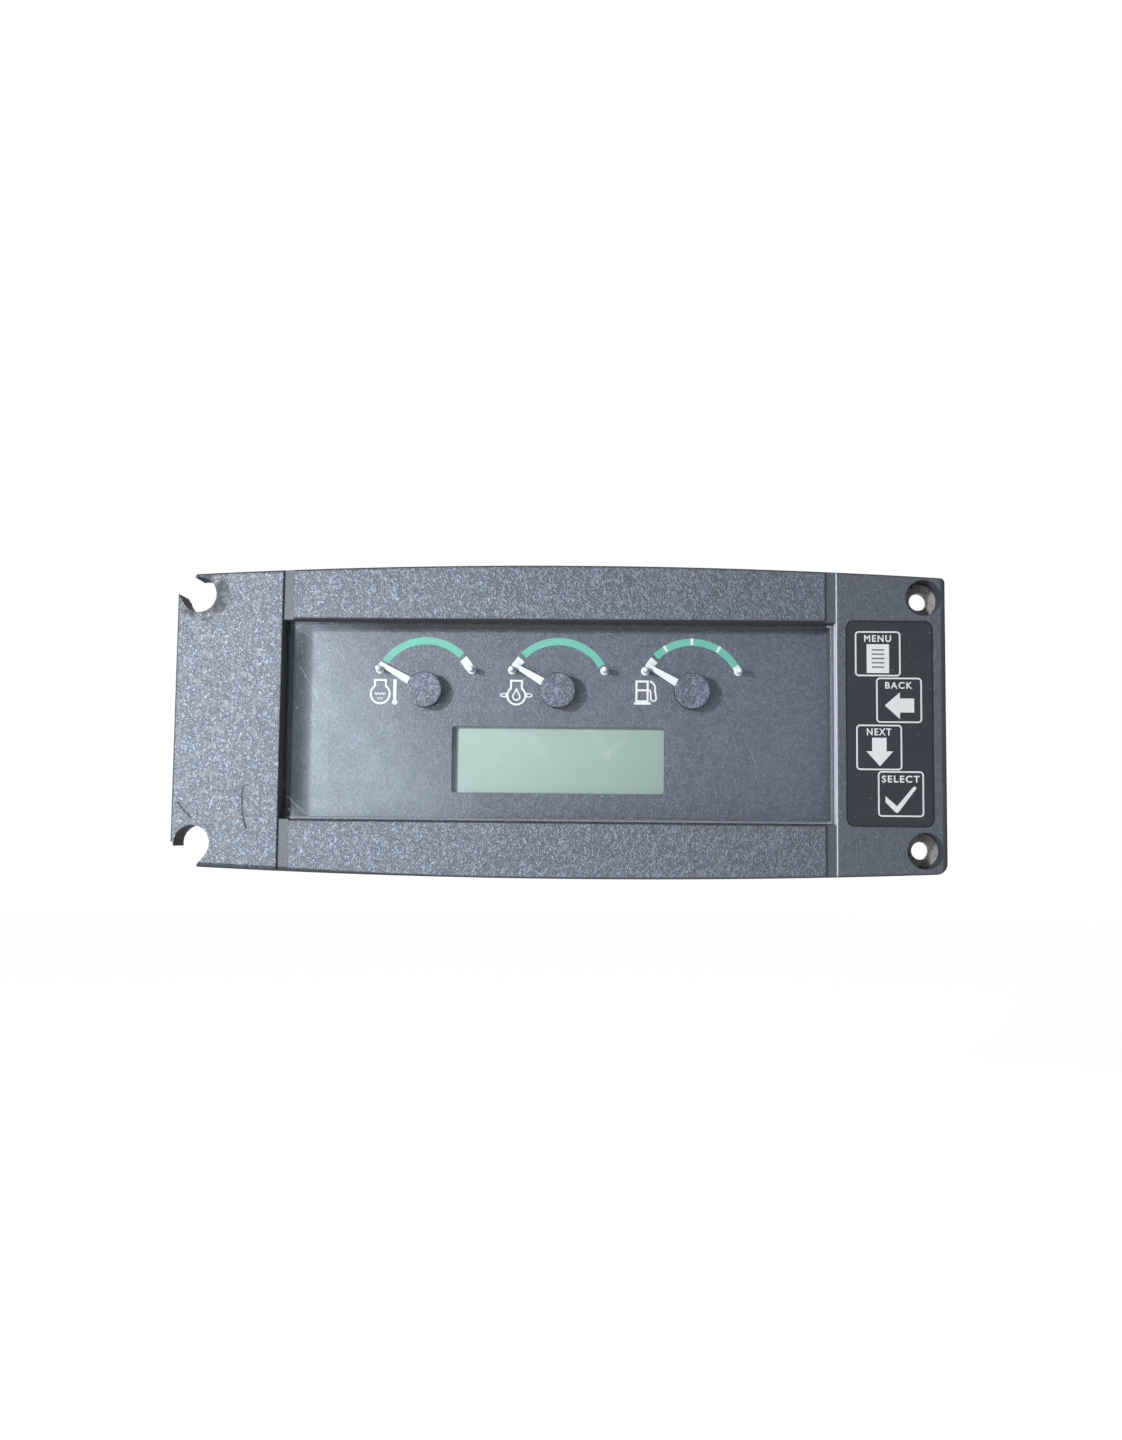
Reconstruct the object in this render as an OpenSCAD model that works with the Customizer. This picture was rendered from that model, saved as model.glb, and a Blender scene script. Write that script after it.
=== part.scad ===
// Dash-mounted engine monitor: one moulded bezel with a recessed window, three pointer gauges over a
// character display, and a four-key pad. Two of its four fixing corners are broken away.
// Frame: X along the width, Z up, front towards -Y. Y = 0 is the back of the flange, which seats on
// the dash, and the origin is the middle of that plane.

/* [Bezel] */
// Width of the bezel
bezel_w = 282; // [278:0.5:288]
// Height of the bezel at its middle
bezel_h = 114.8; // [112.8:0.2:118]
// Thickness from the front face to the dash
flange_t = 12.5; // [12:0.1:14]
// Radius of the bowed top edge
bow_top_r = 2400; // [2100:50:4000]
// Radius of the bowed bottom edge
bow_bottom_r = 3050; // [2100:50:4000]
// Radius of the two upper corners
corner_top_r = 1.8; // [1.6:0.1:4]
// Radius of the two lower corners
corner_bottom_r = 4; // [2:0.1:6]
// Rounding of the front edges
edge_r = 1.2; // [0.8:0.1:1.4]
// Thickness of the front wall
skin_t = 3; // [2.6:0.1:3.4]
// Thickness of the outer side walls
side_wall = 3; // [2.6:0.1:3.6]

/* [Seams beside the window] */
// Width of each smooth channel between an end block and the bands
channel_w = 3.8; // [3:0.1:5]
// Depth of the channels
channel_d = 1; // [0.6:0.1:1.4]
// Rounding of the channel edges
seam_r = 0.5; // [0.2:0.1:0.8]

/* [Window] */
// Width of the window opening
window_w = 203; // [200:0.2:204]
// Height of the window opening
window_h = 73.6; // [71:0.2:74]
// Depth of the lens face below the front face
lens_depth = 4; // [3.4:0.1:4.6]
// Thickness of the lens
lens_t = 2; // [1.5:0.1:2.5]
// Clearance round the lens
lens_gap = 0.3; // [0.1:0.05:0.5]
// Thickness of the bonded lens gasket
gasket_t = 0.5; // [0.3:0.1:1]
// Width of the ledge that carries the lens
ledge_w = 1.2; // [1:0.1:2]
// Depth of the dial face below the front face
dial_depth = 14.5; // [14:0.1:17]
// Thickness of the wall that runs back from the window to the dial
skirt_t = 2.2; // [1.8:0.1:3]

/* [Fixing holes] */
// Distance from a side edge to the centre of a fixing hole
hole_edge = 7.9; // [7.8:0.1:9]
// Vertical distance between the two fixing holes of one side
hole_pitch = 91.8; // [89:0.2:92.4]
// Diameter of the counterbore
counterbore_d = 13.2; // [12.6:0.1:13.4]
// Depth of the counterbore down to its steel bush
counterbore_depth = 9.5; // [8:0.1:9.8]
// Wall round the counterbore
boss_wall = 2.6; // [2:0.1:3]
// Inner diameter of the steel bush
bush_id = 6.5; // [6.2:0.1:7]
// Wall of the steel bush
bush_wall = 1; // [0.8:0.1:1.2]
// Thickness of the flange of the bush
bush_flange_t = 1; // [0.8:0.1:1.2]

/* [Keypad] */
// Width of the overlay film
pad_w = 31.2; // [30:0.2:31.8]
// Height of the overlay film
pad_h = 74.6; // [72:0.2:75.6]
// Corner radius of the overlay film
pad_r = 2.8; // [2:0.1:4]
// Distance from the window edge to the overlay film
pad_gap = 3.5; // [2.9:0.1:4]
// Depth of the pocket that holds the overlay film
pad_recess = 0.5; // [0.4:0.05:0.8]
// Thickness of the overlay film
film_t = 0.35; // [0.2:0.05:0.4]
// Clearance round the overlay film
film_gap = 0.15; // [0.1:0.05:0.3]
// Vertical distance between keys
key_pitch = 17.05; // [16.6:0.05:17.4]
// Sideways distance between the two columns of keys
key_stagger = 8.1; // [7:0.1:8.6]
// Diameter of a key plunger
plunger_d = 8; // [7:0.1:8.4]
// Radial clearance round a key plunger
plunger_gap = 0.2; // [0.1:0.05:0.3]
// Collar of a key plunger beyond its side
plunger_lip = 1; // [0.6:0.1:1.2]
// Thickness of that collar
plunger_lip_t = 0.9; // [0.7:0.1:1.2]
// Gap between a plunger and the pieces in front of it
plunger_play = 0.05; // [0.03:0.01:0.1]
// Travel of a key
key_travel = 0.4; // [0.25:0.05:0.5]
// Side of a key switch
switch_size = 6.2; // [5.8:0.1:6.6]
// Height of a key switch above its board
switch_h = 3.4; // [3:0.1:3.6]
// Diameter of the plunger stem that enters the switch
stem_d = 3.4; // [3:0.1:3.6]
// Thickness of the keypad circuit board
pad_board_t = 1.2; // [1:0.1:1.4]

/* [Gauges] */
// Distance between gauge centres
gauge_pitch = 50; // [48.5:0.5:51.5]
// Height of the gauge centres above the middle of the window
gauge_z = 12.1; // [11.5:0.1:12.8]
// Thickness of the dial plate
dial_t = 1.5; // [1:0.1:2]
// Diameter of a hub cap
hub_d = 13.3; // [12:0.1:14.5]
// Height of a hub cap's top above the dial
hub_top = 5.8; // [5.4:0.1:6.6]
// Height of a hub cap's rim above the dial
hub_rim = 1.6; // [1.2:0.1:1.9]
// Rounding of a hub cap's top edge
hub_round = 0.5; // [0.3:0.1:0.8]
// Length of a needle from its pivot
needle_len = 19.9; // [19.6:0.1:21]
// Width of a needle at its pivot
needle_root_w = 3.6; // [3.2:0.1:4.2]
// Width of a needle at its tip
needle_tip_w = 1.5; // [1.2:0.1:2]
// Height of a needle's underside above the dial
needle_z = 2.4; // [2.2:0.1:2.7]
// Thickness of a needle
needle_t = 0.9; // [0.7:0.1:1.2]
// Diameter of the boss that carries a needle on its spindle
needle_boss_d = 8; // [7:0.1:9]
// Diameter of a spindle
spindle_d = 1.6; // [1.4:0.1:2]
// Radial running clearance of a spindle
spindle_gap = 0.04; // [0.02:0.01:0.08]
// Distance from a gauge centre to its stop pins
pin_radius = 19.1; // [18.9:0.1:19.4]
// Direction of a left stop pin, from the right-hand horizontal
pin_angle = 155.5; // [153:0.5:158]
// Diameter of a stop pin
pin_d = 2.1; // [1.8:0.1:2.4]
// Height of a stop pin above the dial
pin_h = 6.5; // [6:0.1:7]
// Diameter of the collar at a stop pin's foot
pin_collar_d = 3.2; // [2.8:0.1:3.6]
// Gap between a resting needle and its stop pin
stop_gap = 0.06; // [0.04:0.01:0.1]
// Diameter of a gauge movement
movement_d = 19; // [18:0.1:19.4]
// Height of a gauge movement
movement_h = 12.5; // [12.2:0.1:14]
// Wall of a gauge movement
movement_wall = 1.8; // [1.4:0.1:2.2]
// Diameter of the magnet on a spindle
magnet_d = 12; // [10:0.2:13]
// Length of the magnet on a spindle
magnet_h = 5; // [4:0.2:6]

/* [Character display] */
// Width of the display opening in the dial
lcd_w = 79.5; // [76:0.5:81]
// Height of the display opening in the dial
lcd_h = 24.8; // [23:0.1:25.2]
// Height of the display's centre, from the middle of the window
lcd_z = -13.7; // [-14.6:0.1:-13.5]
// Corner radius of the display opening
lcd_r = 1.1; // [0.8:0.1:2]
// Depth of the display glass below the dial face
lcd_depth = 3; // [2.6:0.1:3.4]
// Thickness of the display glass
lcd_glass_t = 1.8; // [1.4:0.1:2.2]
// Thickness of the light guide behind the glass
guide_t = 3; // [2.4:0.1:3.6]
// Border of the display frame outside the opening
lcd_border = 2.7; // [2.4:0.1:3]
// Wall of the display frame
lcd_wall = 0.8; // [0.6:0.1:1]
// Thickness of the display's circuit board
lcd_board_t = 1.6; // [1.2:0.1:1.8]

/* [Boards and posts] */
// Diameter of a post up to the dial plate
post_d = 7; // [6.4:0.1:7.4]
// Diameter of a post between the dial plate and the main board
spigot_d = 5; // [4.6:0.1:5.6]
// Gap between the posts and the window wall
post_gap = 1; // [0.6:0.1:1.4]
// Clearance round a post where a plate slips over it
plate_gap = 0.2; // [0.1:0.05:0.3]
// Thickness of the main circuit board
board_t = 1.6; // [1.4:0.1:2]
// Diameter of the screw holes in the posts
pilot_d = 2.5; // [2.3:0.1:2.7]
// Depth of the screw holes in the posts
pilot_depth = 9; // [8:0.5:10]
// Diameter of the clearance holes for the screws
clear_d = 3.4; // [3.2:0.1:3.6]
// Diameter of a screw head
head_d = 5.6; // [5.2:0.1:6]
// Height of a screw head
head_h = 2.1; // [1.8:0.1:2.4]
// Length of a screw under its head
screw_len = 8; // [7:0.5:8.5]
// Length of a keypad board screw under its head
pad_screw_len = 5; // [4:0.5:5.5]
// Diameter of a keypad board screw's head
pad_head_d = 4; // [3.8:0.1:4.2]

/* [Parts on the main board] */
// Side of the processor
chip_size = 20; // [16:1:24]
// Thickness of the processor
chip_t = 1.6; // [1:0.1:2]
// Sideways place of the processor
chip_x = 10; // [0:1:16]
// Height of the processor's middle
chip_z = -6; // [-12:1:6]
// Width of the memory chip
memory_w = 18; // [14:1:20]
// Height of the memory chip
memory_h = 8; // [6:1:10]
// Thickness of the memory chip
memory_t = 1.8; // [1.2:0.1:2.4]
// Sideways place of the memory chip
memory_x = 38; // [34:1:50]
// Height of the memory chip's middle
memory_z = 14; // [8:1:20]
// Width of the regulator
regulator_w = 10; // [8:1:12]
// Height of the regulator
regulator_h = 15; // [12:1:17]
// Thickness of the regulator
regulator_t = 4.5; // [4:0.1:5]
// Sideways place of the regulator
regulator_x = 84; // [82:1:90]
// Height of the regulator's middle
regulator_z = -22; // [-25:1:-10]
// Diameter of a capacitor
can_d = 8; // [6:0.5:9]
// Distance between capacitors
can_pitch = 12; // [10:0.5:13]
// Sideways place of the middle capacitor
can_x = 60; // [58:1:64]
// Height of the capacitors' middle
can_z = -24; // [-30:1:-20]
// Room between the capacitors' tops and the cover
can_room = 2.9; // [1:0.1:5]

/* [Rear cover] */
// Thickness of the cover plate
cover_t = 2.5; // [2:0.1:2.8]
// Clearance round the cover plate
cover_gap = 0.3; // [0.2:0.05:0.5]
// Clearance between the main board and the cover's side walls
tub_gap_x = 1.6; // [1.4:0.1:2]
// Clearance between the main board and the cover's upper and lower walls
tub_gap_z = 1.2; // [1:0.1:1.4]
// Wall of the cover
tub_wall = 2.5; // [2:0.1:2.8]
// How far the cover stands out behind the flange
tub_depth = 32; // [31:0.5:40]
// Corner radius of the cover
tub_r = 6; // [5.5:0.5:8]
// Rounding of the cover's back edge
tub_round = 3; // [1.5:0.5:4]
// Draft of the cover's walls on each side
tub_draft = 0.8; // [0.4:0.1:0.9]
// Width of the shelf that carries the cover seal
seal_shelf = 2; // [1.8:0.1:2.1]
// Width of the cover seal
seal_w = 1.2; // [1:0.1:1.4]
// Thickness of the cover seal
seal_t = 1.7; // [1.4:0.1:2]
// Diameter of the bosses that take the cover screws
boss_d = 6.4; // [6:0.1:6.6]
// Gap between the heads of the cover screws and the cover's raised part
head_gap = 0.3; // [0.2:0.1:0.5]

/* [Rear connector] */
// Sideways place of the connector
socket_x = -58; // [-66:1:-50]
// Width of the connector's shroud
socket_w = 38; // [34:0.5:42]
// Height of the connector's shroud
socket_h = 16; // [15:0.5:18]
// How far the shroud stands out of the cover
socket_len = 14; // [12:0.5:18]
// Wall of the shroud
socket_wall = 2; // [1.6:0.1:2.2]
// Thickness of the connector's flange
socket_flange_t = 2; // [1.6:0.1:2.4]
// Border of the connector's flange beyond the shroud
socket_border = 4; // [3:0.5:5]
// Number of contacts in each of the two rows
contact_count = 6; // [4:1:7]
// Distance between contacts
contact_pitch = 4.2; // [4:0.1:4.4]
// Side of a contact
contact_size = 1; // [0.8:0.1:1.2]

/* [Vent] */
// Sideways place of the vent plug
vent_x = 62; // [54:1:72]
// Diameter of the vent plug
vent_d = 12; // [10:0.5:14]
// Diameter of the vent plug's stem
vent_stem_d = 6; // [5:0.5:7]

/* [Hidden] */
$fn = 48;

// Levels along Y, from the front face to the back
y_front = -flange_t;
y_skin = y_front + skin_t;
y_lens = y_front + lens_depth;
y_gasket = y_lens + lens_t;
y_ledge = y_gasket + gasket_t;
y_dial = y_front + dial_depth;
y_dial_back = y_dial + dial_t;
y_board = y_dial_back + movement_h;
y_board_back = y_board + board_t;
y_glass = y_dial + lcd_depth;
y_guide = y_glass + lcd_glass_t;
y_lcd_board = y_guide + guide_t;
y_lcd_back = y_lcd_board + lcd_board_t;
y_film = y_front + pad_recess;
y_cover = -cover_t;
y_shelf = y_cover - seal_t;
y_tub_inside = tub_depth - tub_wall;
over = 1;

// Places across the width and the height
hole_x = bezel_w / 2 - hole_edge;
hole_z = hole_pitch / 2;
boss_r = counterbore_d / 2 + boss_wall;
bush_od = bush_id + 2 * bush_wall;
bush_play = 0.1;
post_x = window_w / 2 + skirt_t + post_gap + post_d / 2;
post_z = window_h / 2 + skirt_t - post_d / 2;
plate_w = 2 * post_x + post_d;
plate_h = 2 * post_z + post_d;
plate_r = 2.5;
tub_w = plate_w + 2 * (tub_gap_x + tub_wall);
tub_h = plate_h + 2 * (tub_gap_z + tub_wall);
pad_x = window_w / 2 + pad_gap + pad_w / 2;
gauge_xs = [-gauge_pitch, 0, gauge_pitch];

// Levels of a key, from the film back to the board
plunger_r = plunger_d / 2;
y_plunger = y_film + plunger_play;
y_collar = y_skin + plunger_play;
y_collar_back = y_collar + plunger_lip_t;
y_switch = y_collar_back + key_travel + plunger_play;
y_pad_board = y_switch + switch_h;
y_pad_back = y_pad_board + pad_board_t;
stem_gap = 0.1;
stem_len = switch_h * 0.6;

// Ribbon between the two boards and the length of the sockets that hold it
ribbon_w = 12;
ribbon_socket_len = ribbon_w + 4;

// Key centres from the top: menu, back, next, select
key_spots = [for (i = [0 : 3])
    [pad_x + (i % 2 == 0 ? -1 : 1) * key_stagger / 2, (1.5 - i) * key_pitch]];
pad_post_d = 5;
pad_pilot_d = 1.8;
pad_post_inset = 3.2;
pad_board_edge = 1.2;
pad_board_x0 = window_w / 2 + skirt_t + 3;
pad_board_x1 = pad_x + key_stagger / 2 + switch_size / 2 + pad_board_edge;
pad_board_w = pad_board_x1 - pad_board_x0;
pad_board_h = 3 * key_pitch + 2 * switch_size;
pad_board_x = (pad_board_x0 + pad_board_x1) / 2;
pad_side = pad_board_w / 2 - pad_post_inset;
pad_post_row = ribbon_socket_len / 2 + pad_head_d / 2 + 0.9;
pad_posts = [
    [pad_board_x + pad_side, pad_board_h / 2 - pad_post_inset],
    [pad_board_x - pad_side, pad_post_row],
    [pad_board_x + pad_side, -pad_post_row],
    [pad_board_x - pad_side, pad_post_inset - pad_board_h / 2]
];

// Rest direction of the needles, where each stands against its left stop pin
stop_reach = pin_radius / needle_len;
needle_w_at_stop = needle_root_w + (needle_tip_w - needle_root_w) * stop_reach;
rest_angle = pin_angle - asin((pin_d + needle_w_at_stop + 2 * stop_gap) / (2 * pin_radius));

// Places of the screws that hold the rear cover
boss_sink = 0.25;
side_boss_x = bezel_w / 2 - side_wall - seal_shelf - boss_d / 2 + boss_sink;
row_boss_x = hole_x - boss_r - boss_d;
cover_screw_z = tub_h / 2 + head_d / 2 + head_gap;
cover_spots = concat(
    [for (x = [-row_boss_x, -row_boss_x / 3, row_boss_x / 3, row_boss_x], s = [-1, 1])
        [x, s * cover_screw_z]],
    [[-side_boss_x, 0], [side_boss_x, 0]]);

// Points on an arc
function arc(cx, cy, r, from, to, steps) =
    [for (i = [0 : steps]) let (a = from + (to - from) * i / steps) [cx + r * cos(a), cy + r * sin(a)]];

// Outline of a rectangle with rounded corners
function rounded(w, h, r, steps = 6) = concat(
    arc(w / 2 - r, h / 2 - r, r, 0, 90, steps),
    arc(r - w / 2, h / 2 - r, r, 90, 180, steps),
    arc(r - w / 2, r - h / 2, r, 180, 270, steps),
    arc(w / 2 - r, r - h / 2, r, 270, 360, steps));

// Outline of the bezel, drawn in by inset: straight sides, bowed edges and rounded corners
function bow_lean(inset, r, bow_r) = asin((bezel_w / 2 - inset - r) / (bow_r - inset - r));
function bow_corner_z(inset, r, bow_r) =
    sqrt(pow(bow_r - inset - r, 2) - pow(bezel_w / 2 - inset - r, 2)) - bow_r + bezel_h / 2;
function upper_half(inset, r, bow_r) = let (
        lean = bow_lean(inset, r, bow_r),
        cx = bezel_w / 2 - inset - r,
        cz = bow_corner_z(inset, r, bow_r),
        bow = arc(0, bezel_h / 2 - bow_r, bow_r - inset, 90 - lean, 90 + lean, 24))
    concat(
        arc(cx, cz, r, 0, 90 - lean, 5),
        [for (i = [1 : len(bow) - 2]) bow[i]],
        arc(-cx, cz, r, 90 + lean, 180, 5));
function bezel_outline(inset, r_top, r_bottom) = concat(
    upper_half(inset, r_top, bow_top_r),
    [for (p = upper_half(inset, r_bottom, bow_bottom_r)) [-p[0], -p[1]]]);

// A drawing in X and Z, made solid between two levels of Y
module slab(y0, y1) {
    rotate([90, 0, 0]) translate([0, 0, -y1]) linear_extrude(y1 - y0) children();
}

// A drawing in Y and Z, made solid along X
module along_x(x0, x1) {
    translate([x0, 0, 0]) rotate([90, 0, 90]) linear_extrude(x1 - x0) children();
}

// A round rod along Y
module rod(spot, y0, y1, d) {
    translate([spot[0], y0, spot[1]]) rotate([-90, 0, 0]) cylinder(h = y1 - y0, d = d);
}

// A drawing or a turned piece that stands on the dial, its height measured towards the front
module on_dial(x, z) {
    translate([x, y_dial, z]) rotate([90, 0, 0]) children();
}

// A centred rectangle at a place in X and Z
module panel(x, z, w, h) {
    translate([x - w / 2, z - h / 2]) square([w, h]);
}

// Bezel

// The bezel's outer form with its rounded front edges
module bezel_blank() {
    hull() for (a = [0 : 22.5 : 90]) {
        drawn_in = edge_r * (1 - cos(a));
        slab(y_front + edge_r * (1 - sin(a)), 0)
            polygon(bezel_outline(drawn_in, corner_top_r - drawn_in, corner_bottom_r - drawn_in));
    }
}

// Area open to the back between the side walls and the four fixing corners
module back_area(inset) {
    intersection() {
        polygon(bezel_outline(side_wall + inset, 1.5, 1.5));
        union() {
            panel(0, 0, 2 * (hole_x - boss_r - inset), bezel_h);
            panel(0, 0, bezel_w, 2 * (hole_z - boss_r - inset));
        }
    }
}

// Channel cut along Z on the right side of the window, with rounded edges
module channel_cut() {
    x0 = window_w / 2 - channel_w;
    x1 = window_w / 2;
    translate([0, 0, -bezel_h]) linear_extrude(2 * bezel_h) polygon(concat(
        [[x0 - seam_r, y_front - over]],
        arc(x0 - seam_r, y_front + seam_r, seam_r, 270, 360, 3),
        [[x0, y_front + channel_d], [x1, y_front + channel_d]],
        arc(x1 + seam_r, y_front + seam_r, seam_r, 180, 270, 3),
        [[x1 + seam_r, y_front - over]]));
}

// Rounding of the upper band's edge along the window
module band_edge_cut() {
    z = window_h / 2;
    along_x(-window_w / 2 + channel_w, window_w / 2 - channel_w) polygon(concat(
        [[y_front - over, z + edge_r], [y_front - over, z - over], [y_front + edge_r, z - over]],
        arc(y_front + edge_r, z + edge_r, edge_r, 270, 180, 5)));
}

// What broke away at the upper left corner, outside the counterbore's wall
module upper_break() {
    polygon([
        [-hole_x, hole_z], [-hole_x - 1.7, hole_z + 6.3], [-hole_x - 1.2, hole_z + 7.1],
        [-hole_x - 1.5, bezel_h], [-bezel_w, bezel_h], [-bezel_w, hole_z + 0.3],
        [-hole_x - 7.4, hole_z + 0.1], [-hole_x - 6.9, hole_z - 1.2], [-hole_x - 5.4, hole_z - 1.6]
    ]);
}

// What broke away at the lower left corner, with a deeper bite below the counterbore
module lower_break() {
    polygon([
        [-hole_x, -hole_z], [-hole_x - 5.8, -hole_z - 1.5], [-hole_x - 6.6, -hole_z - 1.1],
        [-hole_x - 7.3, -hole_z + 0.4], [-bezel_w, -hole_z + 0.8], [-bezel_w, -bezel_h],
        [-hole_x + 2.6, -bezel_h], [-hole_x + 2.2, -hole_z - 7.7], [-hole_x + 3.4, -hole_z - 6.4],
        [-hole_x + 4.9, -hole_z - 4.7], [-hole_x + 5.9, -hole_z - 2.9]
    ]);
}

// Cuts for one whole fixing hole
module fixing_hole(spot) {
    rod(spot, y_front - over, y_front + counterbore_depth + bush_flange_t, counterbore_d);
    rod(spot, y_front, over, bush_od);
}

module front_bezel() {
    color("#5d636b") difference() {
        union() {
            difference() {
                bezel_blank();
                slab(y_skin, y_shelf) back_area(seal_shelf);
                slab(y_shelf, over) back_area(0);
            }
            slab(y_front + skin_t / 2, y_dial)
                panel(0, 0, window_w + 2 * skirt_t, window_h + 2 * skirt_t);
            for (x = [-post_x, post_x], z = [-post_z, post_z]) {
                rod([x, z], y_front + skin_t / 2, y_dial, post_d);
                rod([x, z], y_dial - over, y_board, spigot_d);
            }
            for (spot = cover_spots) rod(spot, y_front + skin_t / 2, y_cover, boss_d);
            for (spot = pad_posts) rod(spot, y_front + skin_t / 2, y_pad_board, pad_post_d);
        }
        slab(y_front - over, y_ledge) panel(0, 0, window_w, window_h);
        slab(y_ledge - over, y_dial + over)
            panel(0, 0, window_w - 2 * ledge_w, window_h - 2 * ledge_w);
        channel_cut();
        mirror([1, 0, 0]) channel_cut();
        band_edge_cut();
        mirror([0, 0, 1]) band_edge_cut();
        slab(y_front - over, y_film) translate([pad_x, 0])
            polygon(rounded(pad_w + 2 * film_gap, pad_h + 2 * film_gap, pad_r + film_gap));
        for (spot = key_spots) rod(spot, y_front, y_skin + over, plunger_d + 2 * plunger_gap);
        for (z = [-hole_z, hole_z]) fixing_hole([hole_x, z]);
        for (z = [-hole_z, hole_z]) rod([-hole_x, z], y_front - over, over, counterbore_d);
        slab(y_front - over, over) upper_break();
        slab(y_front - over, over) lower_break();
        for (x = [-post_x, post_x], z = [-post_z, post_z])
            rod([x, z], y_board - pilot_depth, y_board + over, pilot_d);
        for (spot = cover_spots) rod(spot, y_skin, y_cover + over, pilot_d);
        for (spot = pad_posts) rod(spot, y_skin, y_pad_board + over, pad_pilot_d);
    }
}

// Steel bush pressed into a fixing hole, its flange on the floor of the counterbore
module bush(z) {
    y_floor = y_front + counterbore_depth;
    color("#7d7166") difference() {
        union() {
            rod([hole_x, z], y_floor, y_floor + bush_flange_t, counterbore_d - 2 * bush_play);
            rod([hole_x, z], y_floor, 0, bush_od);
        }
        rod([hole_x, z], y_floor - over, over, bush_id);
    }
}

// Window

module lens() {
    color("#c9d6df", 0.35) slab(y_lens, y_gasket)
        polygon(rounded(window_w - 2 * lens_gap, window_h - 2 * lens_gap, 0.8, 3));
}

module lens_gasket() {
    inner_w = window_w - 2 * ledge_w;
    inner_h = window_h - 2 * ledge_w;
    color("#16181b") slab(y_gasket, y_ledge) difference() {
        panel(0, 0, window_w - 2 * lens_gap, window_h - 2 * lens_gap);
        panel(0, 0, inner_w, inner_h);
    }
}

// Gauges

module dial_plate() {
    color("#4b525c") difference() {
        slab(y_dial, y_dial_back) polygon(rounded(plate_w, plate_h, plate_r, 3));
        slab(y_dial - over, y_dial_back + over) translate([0, lcd_z])
            polygon(rounded(lcd_w, lcd_h, lcd_r));
        for (x = [-post_x, post_x], z = [-post_z, post_z])
            rod([x, z], y_dial - over, y_dial_back + over, spigot_d + 2 * plate_gap);
        for (x = gauge_xs) {
            rod([x, gauge_z], y_dial - over, y_dial_back + over, spindle_d + 2);
            for (side = [-1, 1]) rod(pin_spot(x, side), y_dial - over, y_dial_back + over, pin_d * 0.75);
        }
    }
}

// Place of a stop pin, on the left side of a gauge for -1 and on the right for 1
function pin_spot(x, side) = [x - side * pin_radius * cos(pin_angle), gauge_z + pin_radius * sin(pin_angle)];

// Turned pin with a pressed foot, a collar and a domed end
module stop_pin(spot) {
    collar_h = 0.9;
    r = pin_d / 2;
    on_dial(spot[0], spot[1]) rotate_extrude($fn = 24) polygon(concat(
        [[0, -dial_t], [r * 0.75, -dial_t], [r * 0.75, 0], [pin_collar_d / 2, 0],
            [pin_collar_d / 2, collar_h / 2], [r, collar_h]],
        arc(0, pin_h - r, r, 0, 90, 4)));
}

module stop_pins() {
    color("#dfe6ec") for (x = gauge_xs, side = [-1, 1]) stop_pin(pin_spot(x, side));
}

// Tapered needle on its round boss, turned to its rest direction
module needle(x) {
    color("#e6ecf2") on_dial(x, gauge_z) rotate([0, 0, rest_angle]) difference() {
        union() {
            translate([0, 0, needle_z]) linear_extrude(needle_t) polygon([
                [0, needle_root_w / 2], [needle_len - 0.4, needle_tip_w / 2],
                [needle_len, needle_tip_w / 2 - 0.3], [needle_len, 0.3 - needle_tip_w / 2],
                [needle_len - 0.4, -needle_tip_w / 2], [0, -needle_root_w / 2]
            ]);
            translate([0, 0, hub_rim]) cylinder(h = needle_z + needle_t - hub_rim, d = needle_boss_d);
        }
        translate([0, 0, -over]) cylinder(h = 2 * hub_top, d = spindle_d);
    }
}

// Knob-like cap over a needle's boss, slotted below for the needle
module hub_cap(x) {
    slot_gap = 0.1;
    needle_top = needle_z + needle_t;
    color("#3f444c") on_dial(x, gauge_z) rotate([0, 0, rest_angle]) difference() {
        rotate_extrude($fn = 64) polygon(concat(
            [[0, hub_rim], [hub_d / 2, hub_rim]],
            arc(hub_d / 2 - hub_round, hub_top - hub_round, hub_round, 0, 90, 4),
            [[0, hub_top]]));
        translate([0, 0, hub_rim - over])
            cylinder(h = needle_top - hub_rim + over, d = needle_boss_d + 2 * slot_gap);
        translate([0, -needle_root_w / 2 - slot_gap, hub_rim - over])
            cube([hub_d, needle_root_w + 2 * slot_gap, needle_top - hub_rim + over]);
        translate([0, 0, hub_rim]) cylinder(h = hub_top - hub_rim - 1, d = spindle_d);
    }
}

// Spindle from the rear bearing of a movement up into the hub cap
module spindle(x) {
    color("#9aa0a6") rod([x, gauge_z], y_dial - hub_top + 1, y_board - movement_wall / 2, spindle_d);
}

// Round magnet fixed on a spindle
module magnet(x) {
    y_mid = (y_dial_back + y_board) / 2;
    color("#4a4743") difference() {
        rod([x, gauge_z], y_mid - magnet_h / 2, y_mid + magnet_h / 2, magnet_d);
        rod([x, gauge_z], y_mid - magnet_h, y_mid + magnet_h, spindle_d);
    }
}

// Hollow movement between the dial plate and the main board, with a bearing at each end
module movement(x) {
    spot = [x, gauge_z];
    color("#22262b") difference() {
        rod(spot, y_dial_back, y_board, movement_d);
        rod(spot, y_dial_back + movement_wall, y_board - movement_wall,
            movement_d - 2 * movement_wall);
        rod(spot, y_dial_back - over, y_board - movement_wall / 2 + spindle_gap,
            spindle_d + 2 * spindle_gap);
    }
}

// Character display

module display_frame() {
    color("#1b1e22") translate([0, 0, lcd_z]) difference() {
        slab(y_dial_back, y_lcd_board)
            polygon(rounded(lcd_w + 2 * lcd_border, lcd_h + 2 * lcd_border, 1, 3));
        slab(y_dial_back - over, y_glass + over) panel(0, 0, lcd_w + 0.6, lcd_h + 0.6);
        slab(y_glass, y_lcd_board + over)
            panel(0, 0, lcd_w + 2 * (lcd_border - lcd_wall), lcd_h + 2 * (lcd_border - lcd_wall));
    }
}

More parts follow.
